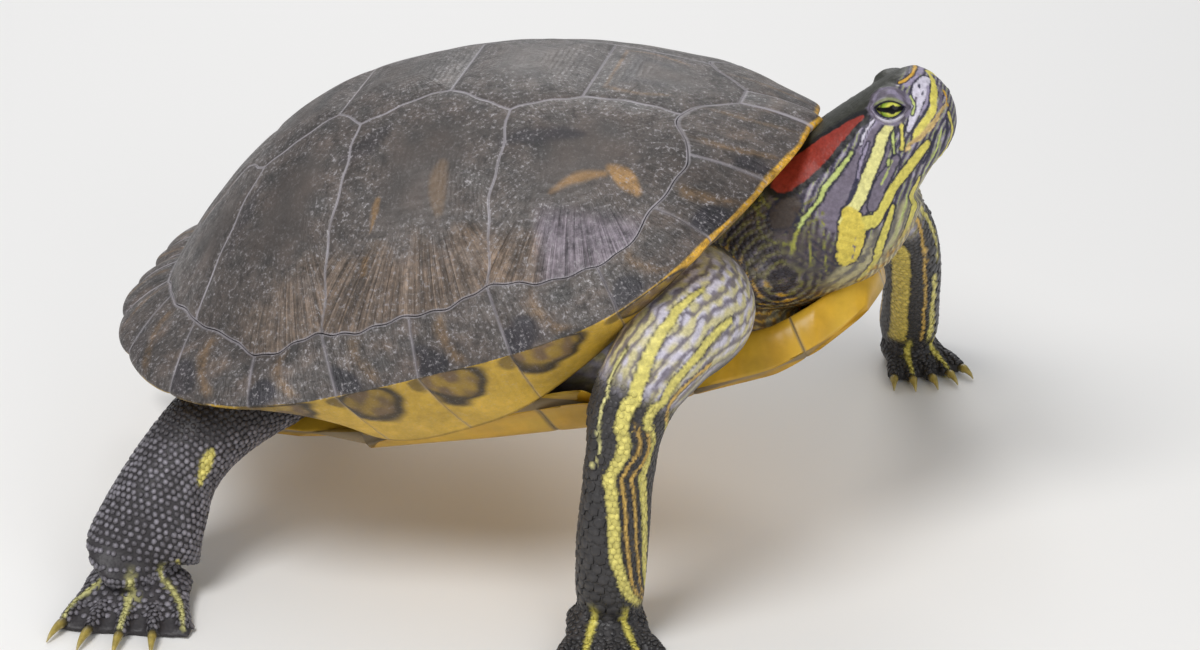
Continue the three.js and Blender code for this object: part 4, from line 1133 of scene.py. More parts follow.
def split_faces(mesh, chosen):
    """Cuts each edge of the chosen faces in two."""
    work = bmesh.new()
    work.from_mesh(mesh)
    work.faces.ensure_lookup_table()
    edges = {edge for index in np.flatnonzero(chosen) for edge in work.faces[index].edges}
    bmesh.ops.subdivide_edges(work, edges=list(edges), cuts=1, use_grid_fill=True)
    work.to_mesh(mesh)
    work.free()


def face_middles(mesh):
    """The middle of each face, in mm, without the shift."""
    middles = np.empty(len(mesh.polygons) * 3, np.float32)
    mesh.polygons.foreach_get("center", middles)
    return middles.reshape(-1, 3).astype(float) * 1000 - SHIFT


def hidden_share(points):
    """1 for trunk skin deep inside the shell, 0 for skin that shows."""
    local = (points - [0, 0, SHELL_CENTRE_HEIGHT]) @ SHELL_TURN / SHELL_LENGTH
    x, y, z = local.T
    under_dome = ease((z - 0.06 - 0.10 * np.abs(x)) / 0.05)
    bridge = ease((0.17 - np.abs(x + 0.02)) / 0.05)
    sole = ease((0.34 - np.hypot(x, y)) / 0.06) * ease((-0.05 - z) / 0.03)
    return np.maximum.reduce([under_dome, bridge, sole]) * (np.hypot(x, y) < 0.6)


def thinned(mesh, chosen, keep):
    """Collapses edges among the chosen points until about the share keep of their faces is left."""
    body = bpy.data.objects.new("flesh_thinned", mesh)
    body.vertex_groups.clear()
    group = body.vertex_groups.new(name="chosen")
    group.add(np.flatnonzero(chosen).tolist(), 1.0, "REPLACE")
    thin = body.modifiers.new("thin", "DECIMATE")
    thin.ratio = 1 - float(chosen.mean()) * (1 - keep)
    thin.vertex_group = "chosen"
    thin.vertex_group_factor = 1.0
    return evaluated(body)


def fused_skin():
    """All flesh fused into one closed mesh of even cells, smoothed, thinned where the shell
    covers it, and split finer on the head and round the eyes."""
    points, faces = join_bodies(flesh_bodies())
    body = bpy.data.objects.new("flesh_blank", make_mesh("flesh_blank", points, faces))
    remesh = body.modifiers.new("fuse", "REMESH")
    remesh.mode = "VOXEL"
    remesh.voxel_size = SKIN_VOXEL * 0.001
    mesh = evaluated(body)
    points = relaxed(mesh_points(mesh), mesh_edges(mesh), 5, 0.6)
    ankle = np.zeros(len(points))
    for leg in LEGS.values():
        off = np.linalg.norm(points - [*leg["heel"], 11], axis=1)
        ankle = np.maximum(ankle, ease((17 - off) / 5) * ease((points[:, 2] - 2) / 2))
    points = relaxed(points, mesh_edges(mesh), 24, 0.6 * ankle)
    store_points(mesh, points)
    mesh = thinned(mesh, hidden_share(points) > 0.5, 0.1)
    middles = to_head(face_middles(mesh))
    split_faces(mesh, (middles[:, 0] > -31) & (np.abs(middles[:, 1]) < 18) & (middles[:, 2] > -26))
    points = mesh_points(mesh)
    on_head = ease((to_head(points)[:, 0] + 33) / 3)
    store_points(mesh, relaxed(points, mesh_edges(mesh), 2, 0.55 * on_head))
    middles = folded(to_head(face_middles(mesh)))
    eye_gap = np.linalg.norm(middles - [0, EYE_OFFSET, 0], axis=1)
    split_faces(mesh, (eye_gap < 6.6) & (middles[:, 1] > 8))
    return mesh


# ------------------------------------------------------------------ the head's relief

SLIT_SLANT = np.radians(43)
SLIT_ALONG = np.array([np.cos(SLIT_SLANT), 0, -np.sin(SLIT_SLANT)])
SLIT_ACROSS = np.array([np.sin(SLIT_SLANT), 0, np.cos(SLIT_SLANT)])
SLIT_HALF = (4.0, 2.3)
SLIT_LIFT = 0.55                 # how far the opening's middle lies above the eyeball's, mm
MOUTH = [(11.4, 0, -9.3, 0), (10.5, 3, -9.6, 0), (9.1, 5.5, -9.9, 0), (3.1, 9.1, -10.6, 0),
         (-1.9, 10.8, -9.8, 0), (-5.2, 12, -8.8, 0)]
BROW = [(-5, 6.5, 6.0, 0), (0, 7.6, 5.2, 0), (4.4, 8.2, 2.6, 0), (7.6, 6.0, 1.2, 0)]
CHEEK_FOLD = [(-5.2, 12, -8.8, 0), (-12, 13.6, -11.2, 0), (-21, 14, -14, 0)]
EAR = np.array([-21.2, 15.0, -4.6])
NOSTRIL = np.array([11.5, 1.3, -4.9])
NOSTRIL_SHAPE = np.array([1, 0.9, 0.7])


def slit_depth(place):
    """How far inside the opening between the lids a point lies, mm: the slit is a lens, its
    half-height a parabola to the power 0.8 along its length."""
    off = place - [0, EYE_OFFSET, 0]
    along, across = off @ SLIT_ALONG, off @ SLIT_ACROSS - SLIT_LIFT
    height = SLIT_HALF[1] * np.maximum(1 - (along / SLIT_HALF[0]) ** 2, 0) ** 0.8
    return height - np.abs(across) - 0.6 * np.maximum(np.abs(along) - SLIT_HALF[0], 0)


def head_relief(head, normals):
    """Moves points of the head's skin, in the head's frame: lids round the eyeballs with an
    opening sunk below them, mouth, brow, nostrils, ear drum, cheek and throat folds."""
    side = np.where(head[:, 1:2] < 0, -1.0, 1.0)
    flip = np.hstack([np.ones_like(side), side, np.ones_like(side)])
    p, n = head * flip, normals * flip
    eye_off = p - [0, EYE_OFFSET, 0]
    radius = np.linalg.norm(eye_off, axis=1)
    facing = ease((eye_off[:, 1] / np.maximum(radius, 1e-6) - 0.15) / 0.2)
    near = ease((8.2 - radius) / 2) * facing
    lid = np.maximum(radius, LID_RADIUS)
    inside = slit_depth(p)
    margin = 0.28 * np.exp(-(((inside + 0.42) / 0.28) ** 2))
    crease = 0.20 * np.exp(-(((inside + 1.55) / 0.22) ** 2)) + 0.12 * np.exp(-(((inside + 2.3)
                                                                                / 0.2) ** 2))
    lid = lid + (margin - crease) * ease((5.9 - lid) / 0.4)
    lid = lid + (3.9 - lid) * ease((inside + 0.08) / 0.4)
    p = p + eye_off / radius[:, None] * ((lid - radius) * near)[:, None]
    rise = 0.35 * np.exp(-((stroke_gap(p, BROW) / 1.0) ** 2)) * (1 - near)
    mouth = stroke_gap(p, MOUTH)
    rise -= 0.5 * np.exp(-((mouth / 0.36) ** 2))
    above = ease((p[:, 2] + 10.0 - 0.05 * p[:, 0]) / 0.5)
    rise += 0.22 * above * np.exp(-(((mouth - 0.9) / 0.6) ** 2)) * ease((p[:, 0] + 3) / 3)
    nostril = np.linalg.norm((p - NOSTRIL) / NOSTRIL_SHAPE, axis=1)
    rise -= 0.7 * np.exp(-((nostril / 0.6) ** 2))
    rise -= 0.28 * np.exp(-((stroke_gap(p, CHEEK_FOLD) / 1.1) ** 2))
    ear = np.linalg.norm((p - EAR) / [4.2, 3.0, 3.0], axis=1)
    rise += 0.18 * np.exp(-(((ear - 1.05) / 0.22) ** 2)) - 0.22 * ease((1 - ear) / 0.5)
    fold = np.sin(2 * np.pi * (p[:, 0] + 0.5 * p[:, 2] + 0.8 * ripple(p, 9, 12)) / 2.7)
    rise += 0.16 * fold * ease((-25 - p[:, 0]) / 4) * ease((4 - p[:, 2]) / 6)
    rise += 0.06 * ripple(p, 2.6, 14)
    return (p + n * rise[:, None]) * flip


# ------------------------------------------------------------------ markings of the skin

SKIN_DARK = colour("#3a3838")
SKIN_BLACK = colour("#1c1a1e")
CROWN = colour("#33332b")
NAVY = colour("#2f2d42")
CHEEK_GREY = colour("#736a78")
LAVENDER = colour("#9a90a6")
# pale grey of the painted highlight on the crowns of the hind legs' scales
CROWN_HIGHLIGHT_GREY = colour("#aaa5ae")
WHITISH = colour("#cfc9d6")
LEMON = colour("#d8cb62")
PALE_LEMON = colour("#ddd78e")
GOLDEN = colour("#cf9f34")
COLUMN_YELLOW = colour("#cdb53a")
LEMON_GOLD = colour("#d6c153")
OLIVE_LINE = colour("#9b9a45")
GREEN_LINE = colour("#b9c474")
BEAK_TAN = colour("#d3b67a")
BRICK = colour("#8e3024")
NECK_BROWN = colour("#443a34")
CREAM = colour("#cfc594")
HIND_GREY = colour("#474345")

# where the cheek's two broad stripes meet
CHEEK_JUNCTION = [(-24.4, 15.4, -10, 1.8), (-26.3, 14.6, -12.6, 3.0), (-29, 13.4, -14.0, 3.3),
                  (-32.4, 12.0, -15.8, 2.9)]
# Part of the places in HEAD_STROKES, LIMB_STRIPES, MOUTH and CARAPACE_STROKES were printed by a
# script that cast rays onto the CAD model, and were not set by eye.
# Strokes on the head's right side, mirrored on its left: colour, colour and width of the border,
# and the path in the head's frame with half-widths, mm.
HEAD_STROKES = [
    (CHEEK_GREY, None, 0, [(-6, 11, -2, 3), (-16, 14, -7, 5), (-26, 15, -8, 5)]),
    (LAVENDER, None, 0, [(6.7, 6.3, 1.1, 0.8), (8.6, 4.8, 1.0, 0.9), (10.2, 3, 0.6, 0.7),
                         (10.8, 0, 0.4, 0.6)]),
    (WHITISH, NAVY, 0.35, [(10.4, 4.2, -1.8, 1.3), (8.6, 6.3, -2, 1.8), (6.3, 8.2, -3.3, 1.5),
                           (3, 9.8, -5.2, 1.0), (0, 10.7, -6.6, 0.5)]),
    (NAVY, None, 0, [(8.8, 6.2, -1.2, 0.28), (8.3, 6.5, -1.7, 0.28)]),
    (NAVY, None, 0, [(8.4, 6.6, -2.9, 0.25), (7.9, 7.2, -3.2, 0.3)]),
    (CHEEK_GREY, None, 0, [(6.4, 8.2, -2.6, 0.3), (5.2, 8.9, -3.4, 0.3)]),
    (GREEN_LINE, NAVY, 0.25, [(6.0, 8.6, -1.4, 0.22), (5.0, 9.4, -3.6, 0.25), (3.4, 10, -4.6, 0.25)]),
    (LAVENDER, None, 0, [(9.8, 5.2, -3.2, 0.35), (7.4, 7.4, -5.3, 0.5), (4.4, 9, -6.4, 0.4)]),
    (NAVY, None, 0, [(10, 5.3, -3.9, 0.3), (7.4, 7.6, -6.1, 0.42), (4.4, 9, -6.9, 0.42),
                     (0.9, 10.4, -7.3, 0.4), (-1.4, 10.8, -8.8, 0.3)]),
    (LEMON, None, 0, [(11.4, 0.2, -1.4, 0.7), (11.3, 3.2, -3.7, 0.8), (9.7, 5.7, -5.4, 0.95),
                      (7.2, 7.5, -7.5, 1.0), (4.2, 9, -8.3, 1.0), (1.1, 10.2, -8.5, 0.9),
                      (-0.8, 10.5, -9.3, 0.6)]),
    (CHEEK_GREY, None, 0, [(11.5, 2.4, -5.3, 0.5), (9.6, 5.5, -7.8, 0.5), (8.1, 6.8, -8.7, 0.4)]),
    (BEAK_TAN, None, 0, [(9.8, 4.6, -9.6, 0.45), (7.5, 6.8, -10.1, 0.6), (3.9, 8.8, -10.2, 0.75),
                         (-0.8, 10.4, -9.9, 0.7), (-3.9, 11.4, -9.4, 0.4)]),
    (GOLDEN, None, 0, [(11.4, 2.6, -7.3, 0.35), (10.6, 3.8, -8.6, 0.35), (9.8, 4.4, -10, 0.35)]),
    (NAVY, None, 0, [(7.9, 6.1, -11.6, 0.45), (5.7, 6.1, -14.1, 0.5), (3.3, 6, -15.6, 0.5),
                     (0.5, 6, -16.6, 0.4)]),
    (LEMON, NAVY, 0.3, [(8.4, 5.0, -11.4, 0.35), (6.9, 4.6, -14.3, 0.45), (4.2, 3.9, -16.6, 0.5),
                        (0, 3.8, -18, 0.5), (-6, 4, -19.5, 0.5)]),
    (NAVY, None, 0, [(3.8, 8, -12.2, 0.5), (1.5, 8.4, -13.3, 0.55), (-1.6, 8.4, -14.7, 0.55),
                     (-4.4, 8.6, -15.6, 0.4)]),
    (GREEN_LINE, None, 0, [(5.2, 7.3, -12.5, 0.25), (2.6, 7.5, -14.2, 0.3), (-2.3, 6.9, -16.4, 0.3),
                           (-7, 6.5, -18, 0.3)]),
    (LEMON_GOLD, NAVY, 0.4, CHEEK_JUNCTION),
    (LEMON, NAVY, 0.4, [(0.2, 9, -12.4, 0.7), (-1.8, 9.6, -12.7, 1.1), (-4.5, 10.2, -13.2, 1.3),
                        (-7.1, 10.8, -13.5, 1.3), (-11.8, 11.8, -13.8, 1.2), (-18.4, 12.3, -15, 1.3),
                        (-22, 12.8, -15.5, 1.5), (-24.4, 14.1, -13.7, 1.8)]),
    (CHEEK_GREY, NAVY, 0.35, [(-7.1, 12.2, -9.3, 0.9), (-13.8, 13.3, -11.0, 1.6),
                              (-19.6, 13.9, -13, 1.3)]),
    (GREEN_LINE, None, 0, [(-8.2, 12.4, -9.0, 0.22), (-10, 12.9, -9.8, 0.22), (-14, 13.4, -11.2, 0.2)]),
    (GREEN_LINE, NAVY, 0.25, [(-8.6, 12.6, -8.2, 0.35), (-9.6, 12.7, -9.0, 0.35)]),
    (LEMON, NAVY, 0.3, [(0.1, 11, -3.9, 0.35), (-2.3, 11.4, -6.6, 0.42), (-4.6, 11.6, -8.8, 0.4)]),
    (GREEN_LINE, NAVY, 0.3, [(-2.6, 11.8, -3.8, 0.22), (-4.5, 12, -5.7, 0.25),
                             (-6.4, 12.2, -8.0, 0.22)]),
    (PALE_LEMON, NAVY, 0.4, [(-2.4, 11.4, -2.4, 0.9), (-5.7, 12.2, -3.2, 1.25), (-9.1, 13.3, -5, 1.35),
                             (-14.3, 14, -7.1, 1.45), (-19.4, 15.1, -9.4, 1.5), (-23.5, 15.3, -10, 1.6),
                             (-26, 15.2, -11, 2.0)]),
    (LEMON_GOLD, None, 0, CHEEK_JUNCTION),
    (CHEEK_GREY, None, 0, [(-27.6, 13.9, -14.8, 0.12), (-30, 12.8, -15.9, 0.18),
                           (-32.6, 11.6, -17.2, 0.2)]),
    (LAVENDER, None, 0, [(-4, 11.2, 0.6, 0.25), (-7.8, 12.2, 0, 0.3), (-12, 13.2, -2.2, 0.3)]),
    (WHITISH, NAVY, 0.25, [(-3.4, 11.0, 1.4, 0.22), (-7, 12, 1.0, 0.25), (-10.4, 12.8, -0.6, 0.2)]),
    (LAVENDER, NAVY, 0.3, [(-9, 12.8, -1.6, 0.3), (-14, 14, -4, 0.35), (-17, 14.6, -6, 0.3)]),
    (NAVY, None, 0, [(-17.2, 14.8, -5.8, 0.5), (-19.8, 15.3, -7.2, 0.7), (-23, 15.5, -8, 0.5)]),
    (CHEEK_GREY, None, 0, [(-19.4, 15.1, -4, 1.9), (-22.6, 15.5, -5.2, 2.2)]),
    (GREEN_LINE, NAVY, 0.4, [(-13.5, 13.3, -0.4, 0.4), (-18, 14.3, -1.1, 0.55),
                             (-23.4, 15.3, -1.6, 0.6),
                             (-27.5, 16.3, -2.9, 0.5), (-31.8, 17.1, -3.2, 0.45), (-35.9, 17.3, -4, 0.45)]),
    (OLIVE_LINE, None, 0, [(-35.9, 17.3, -4, 0.45), (-38.4, 17, -5, 0.6), (-41, 16.4, -6.4, 0.5)]),
    (NECK_BROWN, NAVY, 0.5, [(-32.5, 16.9, 1.6, 2.6), (-36.5, 17.2, 0.8, 3.2)]),
    (OLIVE_LINE * 0.7, None, 0, [(-36.9, 15.1, 7.6, 0.15), (-40.9, 17.5, 4.4, 0.3),
                                 (-42.4, 18.3, 1.3, 0.3),
                                 (-41.9, 17.6, -2.1, 0.3), (-39.8, 17, -4.6, 0.35)]),
    (OLIVE_LINE * 0.8, None, 0, [(-30.2, 16.9, -3.2, 0.12), (-34, 16, -6, 0.2),
                                 (-41, 12.7, -11.5, 0.2)]),
    (OLIVE_LINE * 0.8, None, 0, [(-28.2, 16.8, -5.2, 0.12), (-32, 15.4, -8.8, 0.2),
                                 (-39.1, 11, -14.2, 0.2)]),
    (BRICK, SKIN_BLACK, 1.2, [(-6.1, 9.6, 3.6, 0.5), (-8.6, 9.9, 4.3, 1.1), (-12.9, 10.4, 4.7, 2.1),
                              (-18.9, 11, 5.1, 3.1), (-24.4, 11.8, 5.6, 3.6), (-29, 12.8, 6.2, 3.3),
                              (-31.2, 13.6, 6.4, 2.4)]),
    (GOLDEN, SKIN_BLACK, 0.3, [(5.6, 5.8, 2.6, 0.35), (7.4, 5.1, 2.0, 0.4), (8.9, 3.5, 1.6, 0.4),
                               (9.9, 0, 1.7, 0.45)]),
    (LEMON, NAVY, 0.4, [(-8, 7.4, -18, 0.5), (-12, 6.8, -19.2, 1.2), (-19.2, 4.8, -21.9, 1.4),
                        (-30, 4, -23, 1.2)]),
    (LEMON, NAVY, 0.4, [(-17, 11.3, -17, 0.5), (-22, 10.4, -18.2, 1.0), (-28, 8.6, -20.2, 1.2),
                        (-36, 7, -22, 1.0)]),
    (GREEN_LINE, None, 0, [(-12.9, 8.8, -18.2, 0.3), (-19.2, 8.2, -19.9, 0.3), (-26, 6.4, -21.6, 0.3)]),
]
NECK_PATCH = np.array([-47, 13, -8])    # middle of the neck's dark patch, in the head's frame
PLAIN_SHARE = 0.62           # of the skin's points, those thinned once it is painted
head_marks = []              # the strokes once laid on the skin: colour, border, its width, path


def laid_on_skin(path, tree):
    """A stroke's path on the head, drawn smooth and dropped to the nearest skin of the right side."""
    path = np.asarray(path, float)
    fine = through(path, np.linspace(0, len(path) - 1, (len(path) - 1) * 4 + 1))
    spots = (from_head(fine[:, :3] * [1, -1, 1]) + SHIFT) * 0.001
    fine[:, :3] = to_head(np.array([tree.find_nearest(Vector(spot))[0] for spot in spots])
                          * 1000 - SHIFT)
    return fine * [1, -1, 1, 1]


# Stripes along the limbs: colour, and rows of station, angle in degrees round the limb (0 on the
# side of its side direction) and half-width in mm.
LIMB_STRIPES = {
    "fore_right": [
        (LEMON, [(1.5, 96, 0.6), (2.08, 93, 1.3), (2.6, 107, 1.7), (2.9, 106, 1.8), (3.29, 61, 1.8),
                 (3.78, 30, 1.7), (4.77, 24, 1.5), (5.27, 25, 1.5), (6.03, 40, 1.5), (7, 55, 1.5)]),
        (LEMON, [(1.5, 142, 0.9), (2.5, 148, 1.1), (2.75, 150, 1.2), (3.11, 117, 1.3), (3.66, 84, 1.2),
                 (4.5, 84, 1.3), (5.5, 82, 1.4), (6.3, 88, 1.3), (7, 95, 1.2)]),
        (LEMON, [(2.95, 165, 0.6), (3.25, 154, 2.0), (3.6, 142, 1.5), (3.95, 136, 0.5)]),
        (GOLDEN, [(3.2, 92, 0.4), (3.8, 50, 0.45), (4.8, 44, 0.45), (5.6, 47, 0.4), (6.6, 62, 0.4)]),
        (GOLDEN, [(3.3, 100, 0.35), (3.9, 66, 0.4), (4.8, 62, 0.4), (5.7, 64, 0.35), (6.8, 76, 0.4)]),
        (PALE_LEMON, [(2.5, 70, 0.35), (3.0, 60, 0.4), (3.4, 12, 0.35), (3.9, -12, 0.3)]),
        (GOLDEN, [(2.0, -150, 0.5), (4.0, -140, 0.6), (6.5, -140, 0.6)]),
        (GOLDEN, [(2.0, 170, 0.5), (4.0, 150, 0.6), (6.5, 150, 0.6)]),
    ],
    "fore_left": [
        (COLUMN_YELLOW, [(1.0, -15, 1.6), (2.2, -28, 2.2), (2.98, -42, 2.7), (3.52, -63, 2.7),
                         (4.06, -76, 2.7),
                  (4.58, -86, 2.7), (5.5, -90, 2.6), (6.3, -92, 2.6), (7, -92, 2.6)]),
        (GOLDEN, [(2.4, 35, 0.5), (2.75, 26, 0.55), (3.11, 0, 0.5), (3.67, -21, 0.4), (4.8, -34, 0.4),
                  (5.8, -40, 0.4)]),
        (LEMON, [(1.6, 70, 0.8), (2.4, 60, 1.0), (2.9, 45, 1.0), (3.3, 30, 0.7), (3.8, 14, 0.5)]),
        (LEMON, [(4.1, -5, 0.6), (4.8, -12, 0.9), (5.8, -20, 1.0), (7, -22, 1.0)]),
        (GOLDEN, [(2.0, 130, 0.5), (4.0, 120, 0.6), (6.5, 120, 0.6)]),
        (GOLDEN, [(2.0, -150, 0.5), (4.0, -150, 0.5), (6.5, -150, 0.6)]),
    ],
    "hind_right": [
        (LEMON, [(2.45, 142, 1.2), (2.65, 142, 1.9), (2.9, 143, 1.2), (3.1, 143, 0.5)]),
        (LEMON, [(4.9, 128, 0.6), (5.3, 131, 0.7), (6, 131, 0.6)]),
        (GOLDEN, [(1.0, -60, 0.6), (3.0, -65, 0.7), (5.5, -70, 0.6)]),
        (GOLDEN, [(1.0, -110, 0.5), (3.0, -115, 0.6), (5.5, -115, 0.6)]),
    ],
    "hind_left": [
        (LEMON, [(2.45, 38, 1.2), (2.65, 38, 1.9), (2.9, 37, 1.2), (3.1, 37, 0.5)]),
        (LEMON, [(4.9, 52, 0.6), (5.3, 49, 0.7), (6, 49, 0.6)]),
        (GOLDEN, [(1.0, -120, 0.6), (3.0, -115, 0.7), (5.5, -110, 0.6)]),
        (GOLDEN, [(1.0, -70, 0.5), (3.0, -65, 0.6), (5.5, -65, 0.6)]),
    ],
}


def limb_place(points, stations, up):
    """Station number, angle in degrees and share of the radius of each point about a loft's path."""
    stations = np.asarray(stations, float)
    index = np.linspace(0, len(stations) - 1, 150)
    centre, _, side, depth, half = loft_frame(stations, up, index)
    square = (points**2).sum(1)[:, None] + (centre**2).sum(1)[None] - 2 * points @ centre.T
    nearest = square.argmin(1)
    off = points - centre[nearest]
    across = (off * side[nearest]).sum(1) / half[nearest, 0]
    deep = (off * depth[nearest]).sum(1) / half[nearest, 1]
    return index[nearest], np.degrees(np.arctan2(deep, across)), np.hypot(across, deep)


def within(points, stations, margin):
    low, high = np.min(stations, 0)[:3] - margin, np.max(stations, 0)[:3] + margin
    return np.all((points > low) & (points < high), axis=1)


def stripe_gap(place, angle, stations, rows):
    """Distance outside a stripe that runs along a limb: the arc from the stripe's own angle at that
    station, less its half-width there."""
    rows = np.asarray(rows, float)
    at = np.interp(place, rows[:, 0], rows[:, 1])
    wide = np.interp(place, rows[:, 0], rows[:, 2])
    radius = np.interp(place, np.arange(len(stations)), np.asarray(stations, float)[:, 3:5].mean(1))
    turn_off = np.abs((angle - at + 180) % 360 - 180)
    beyond = np.maximum(np.maximum(rows[0, 0] - place, place - rows[-1, 0]), 0) * 12
    return np.hypot(np.radians(turn_off) * radius, beyond) - wide


def paint_leg(points, name):
    """Colour of a leg's skin: dark, pale and lined on the upper arm, with stripes along the limb
    that run out along the digits."""
    leg = LEGS[name]
    place, angle, _ = limb_place(points, leg["limb"], LIMB_UP)
    grain = ripple(points, 4, 61)
    fore = name.startswith("fore")
    base = SKIN_DARK if fore else HIND_GREY * 0.58
    tint = mix(base, base * 1.5, 0.3 + 0.3 * grain)
    if fore:
        forward = ease((np.cos(np.radians(angle - (105 if "right" in name else 75))) + 0.1) / 0.5)
        upper = ease((3.0 - place) / 0.4) * forward
        tint = mix(tint, mix(CREAM, WHITISH, ease(0.4 + grain)), 0.95 * upper)
        wavy = np.radians(angle) * 25 + place * 2.6 + 1.4 * grain
        tint = mix(tint, CHEEK_GREY * 0.8, upper * ease((np.sin(wavy) + 0.15) / 1.0) * 0.85)
    for shade, rows in LIMB_STRIPES[name]:
        gap = stripe_gap(place, angle, leg["limb"], rows) + 0.12 * grain
        tint = paint(tint, gap - 0.45, SKIN_BLACK, 0.8, 0.5)
        banded = mix(shade, CREAM, 0.25) * (1 + 0.13 * np.sin(points[:, 2] * 2.2 + grain))[:, None]
        tint = paint(tint, gap, banded, 1.0, 0.4)
    low = ease((13 - points[:, 2]) / 4)
    foot = base * 1.15
    for k in range(DIGITS):
        start, way, length = digit_layout(leg, k)
        heel = np.array(leg["heel"])
        path = np.array([[*(heel * 0.6 + start * 0.4), 0.5], [*start, 0.8],
                         [*(start + way * length), 0.5]])
        gap = stroke_gap(points[:, :2], path) + 0.15 * grain
        shade = (LEMON if fore else PALE_LEMON * 0.8) if k % 2 == (1 if fore else 0) else base * 1.7
        foot = paint(foot, gap - 0.35, SKIN_BLACK, 0.6, 0.5)
        foot = paint(foot, gap, shade, 0.95, 0.5)
    on_foot = low * ease((before_heel(points, leg) + 1) / 3)
    return mix(tint, foot, on_foot)


def before_heel(points, leg):
    """How far a point lies in front of the heel, along the foot's heading, mm."""
    forward = np.radians(leg["heading"])
    return (points[:, :2] - leg["heel"]) @ np.array([np.cos(forward), np.sin(forward)])


def paint_neck(points):
    """Colour of the neck: brown wrinkles in arcs about a dark round patch on each side, amber
    flecks drawn out along them near the shell, and gold and cream below."""
    _, angle, _ = limb_place(points, NECK_STATIONS, UP)
    p = folded(to_head(points))
    grain = ripple(points, 3.2, 71)
    tint = mix(NECK_BROWN, CHEEK_GREY * 0.85, 0.35 + 0.35 * grain)
    off = np.linalg.norm(p - NECK_PATCH, axis=1)
    arcs = np.sin(2 * np.pi * off / 1.6 + 0.9 * grain)
    tint = mix(tint, SKIN_BLACK * 1.3, 0.8 * ease((arcs - 0.05) / 0.5))
    crest = ease((-arcs - 0.3) / 0.4)
    tint = mix(tint, OLIVE_LINE * 0.8, 0.4 * crest)
    near_shell = ease((-48 - p[:, 0]) / 4) * ease((off - 5) / 2)
    tint = mix(tint, GOLDEN, 0.85 * crest * near_shell * ease((ripple(points, 4, 73) + 0.1) / 0.4))
    tint = paint(tint, off - 3.6 + 0.5 * grain, SKIN_BLACK * 1.6, 0.85, 1.2)
    tint = paint(tint, np.abs(off - 2.2) - 0.25, OLIVE_LINE * 0.5, 0.5, 0.4)
    tint = paint(tint, np.abs(off - 5.2) - 0.3, OLIVE_LINE * 0.8, 0.6, 0.5)
    under = ease((-35 - angle) / 25) * ease((145 + angle) / 25)
    pale = mix(GOLDEN * 0.9, CREAM, ease(0.4 + grain))
    return mix(tint, pale, under * (0.35 + 0.55 * crest))


def paint_head(head):
    """Colour of the head's skin in its own frame: dark crown, grey cheeks, and the strokes in the
    order of their list, each over a border of its own."""
    p = folded(head)
    grain = ripple(p, 3, 81)
    tint = mix(CHEEK_GREY * 0.85, LAVENDER, 0.3 + 0.3 * grain)
    flow = np.sin(2 * np.pi * (p[:, 2] - (0.3 - 0.01 * p[:, 2]) * p[:, 0]) / 1.45
                  + 1.1 * ripple(p, 8, 83) + 0.5 * grain)
    tint = mix(tint, NAVY * 0.8, 0.85 * ease((flow - 0.1) / 0.4))
    tint = mix(tint, mix(GREEN_LINE * 0.8, WHITISH * 0.8, ease(grain)),
               0.65 * ease((-flow - 0.6) / 0.3))
    tint = mix(tint, NECK_BROWN * 1.2, 0.8 * ease((-26 - p[:, 0]) / 10))
    crown = ease((p[:, 2] - 2.0 - 0.12 * np.maximum(-p[:, 0] - 4, 0)) / 1.6)
    tint = mix(tint, CROWN, crown * ease((11.5 - p[:, 0]) / 2))
    below = ease((-32 - p[:, 0]) / 3) * ease((-6 - p[:, 2]) / 3)
    tint = mix(tint, NAVY * 0.8, 0.8 * below * ease(0.4 + np.sin(2 * np.pi * p[:, 0] / 1.6 + grain)))
    throat = ease((-17.5 - p[:, 2]) / 2)
    tint = mix(tint, CREAM * 0.9, 0.7 * throat)
    chin_lines = ease(np.sin(p[:, 1] * 2.4 + 0.4 * grain) * 1.2)
    tint = mix(tint, NAVY * 1.5, 0.7 * throat * chin_lines)
    arcs = np.linalg.norm((p - [-27, 12, 4]) / [1.25, 1, 1], axis=1)
    ring = ease((np.sin(arcs * 2.9) - 0.35) / 0.5) * ease((13.5 - arcs) / 2) * ease((arcs - 5) / 2)
    tint = mix(tint, OLIVE_LINE * 0.65, 0.55 * ring * ease((-20 - p[:, 0]) / 6))
    for shade, border, width, path in head_marks:
        gap = stroke_gap(p, path, 1) + 0.12 * grain + 0.1 * ripple(p, 1.3, 84)
        if border is not None:
            tint = paint(tint, gap - 1.4 * width, border * 0.6, 0.95, 0.35)
        tint = paint(tint, gap, shade * (1 + 0.1 * ripple(p, 1.6, 85))[:, None], 1.0, 0.32)
    eye_off = np.linalg.norm(p - [0, EYE_OFFSET, 0], axis=1)
    on_lid = ease((6.0 - eye_off) / 0.5) * ease((p[:, 1] - 7.5) / 1)
    across = (p - [0, EYE_OFFSET, 0]) @ SLIT_ACROSS - SLIT_LIFT
    inside = slit_depth(p)
    lid = mix(LAVENDER * 0.8, CHEEK_GREY * 0.7, ease(0.5 + grain))
    lid = mix(lid, WHITISH, ease((-across - 1.0) / 1.0) * ease((inside + 1.3) / 0.5) * 0.9)
    lid = mix(lid, GREEN_LINE * 0.55, ease((across - 0.8) / 0.8) * ease((inside + 1.0) / 0.4) * 0.7)
    lid = mix(lid, NAVY * 0.7, ease((inside + 0.25) / 0.3))
    tint = mix(tint, lid, on_lid)
    tint = paint(tint, stroke_gap(p, MOUTH) - 0.22, SKIN_BLACK * 1.2, 0.75, 0.3)
    nostril = np.linalg.norm((p - NOSTRIL) / NOSTRIL_SHAPE, axis=1)
    return paint(tint, nostril - 0.45, SKIN_BLACK, 1.0, 0.4)


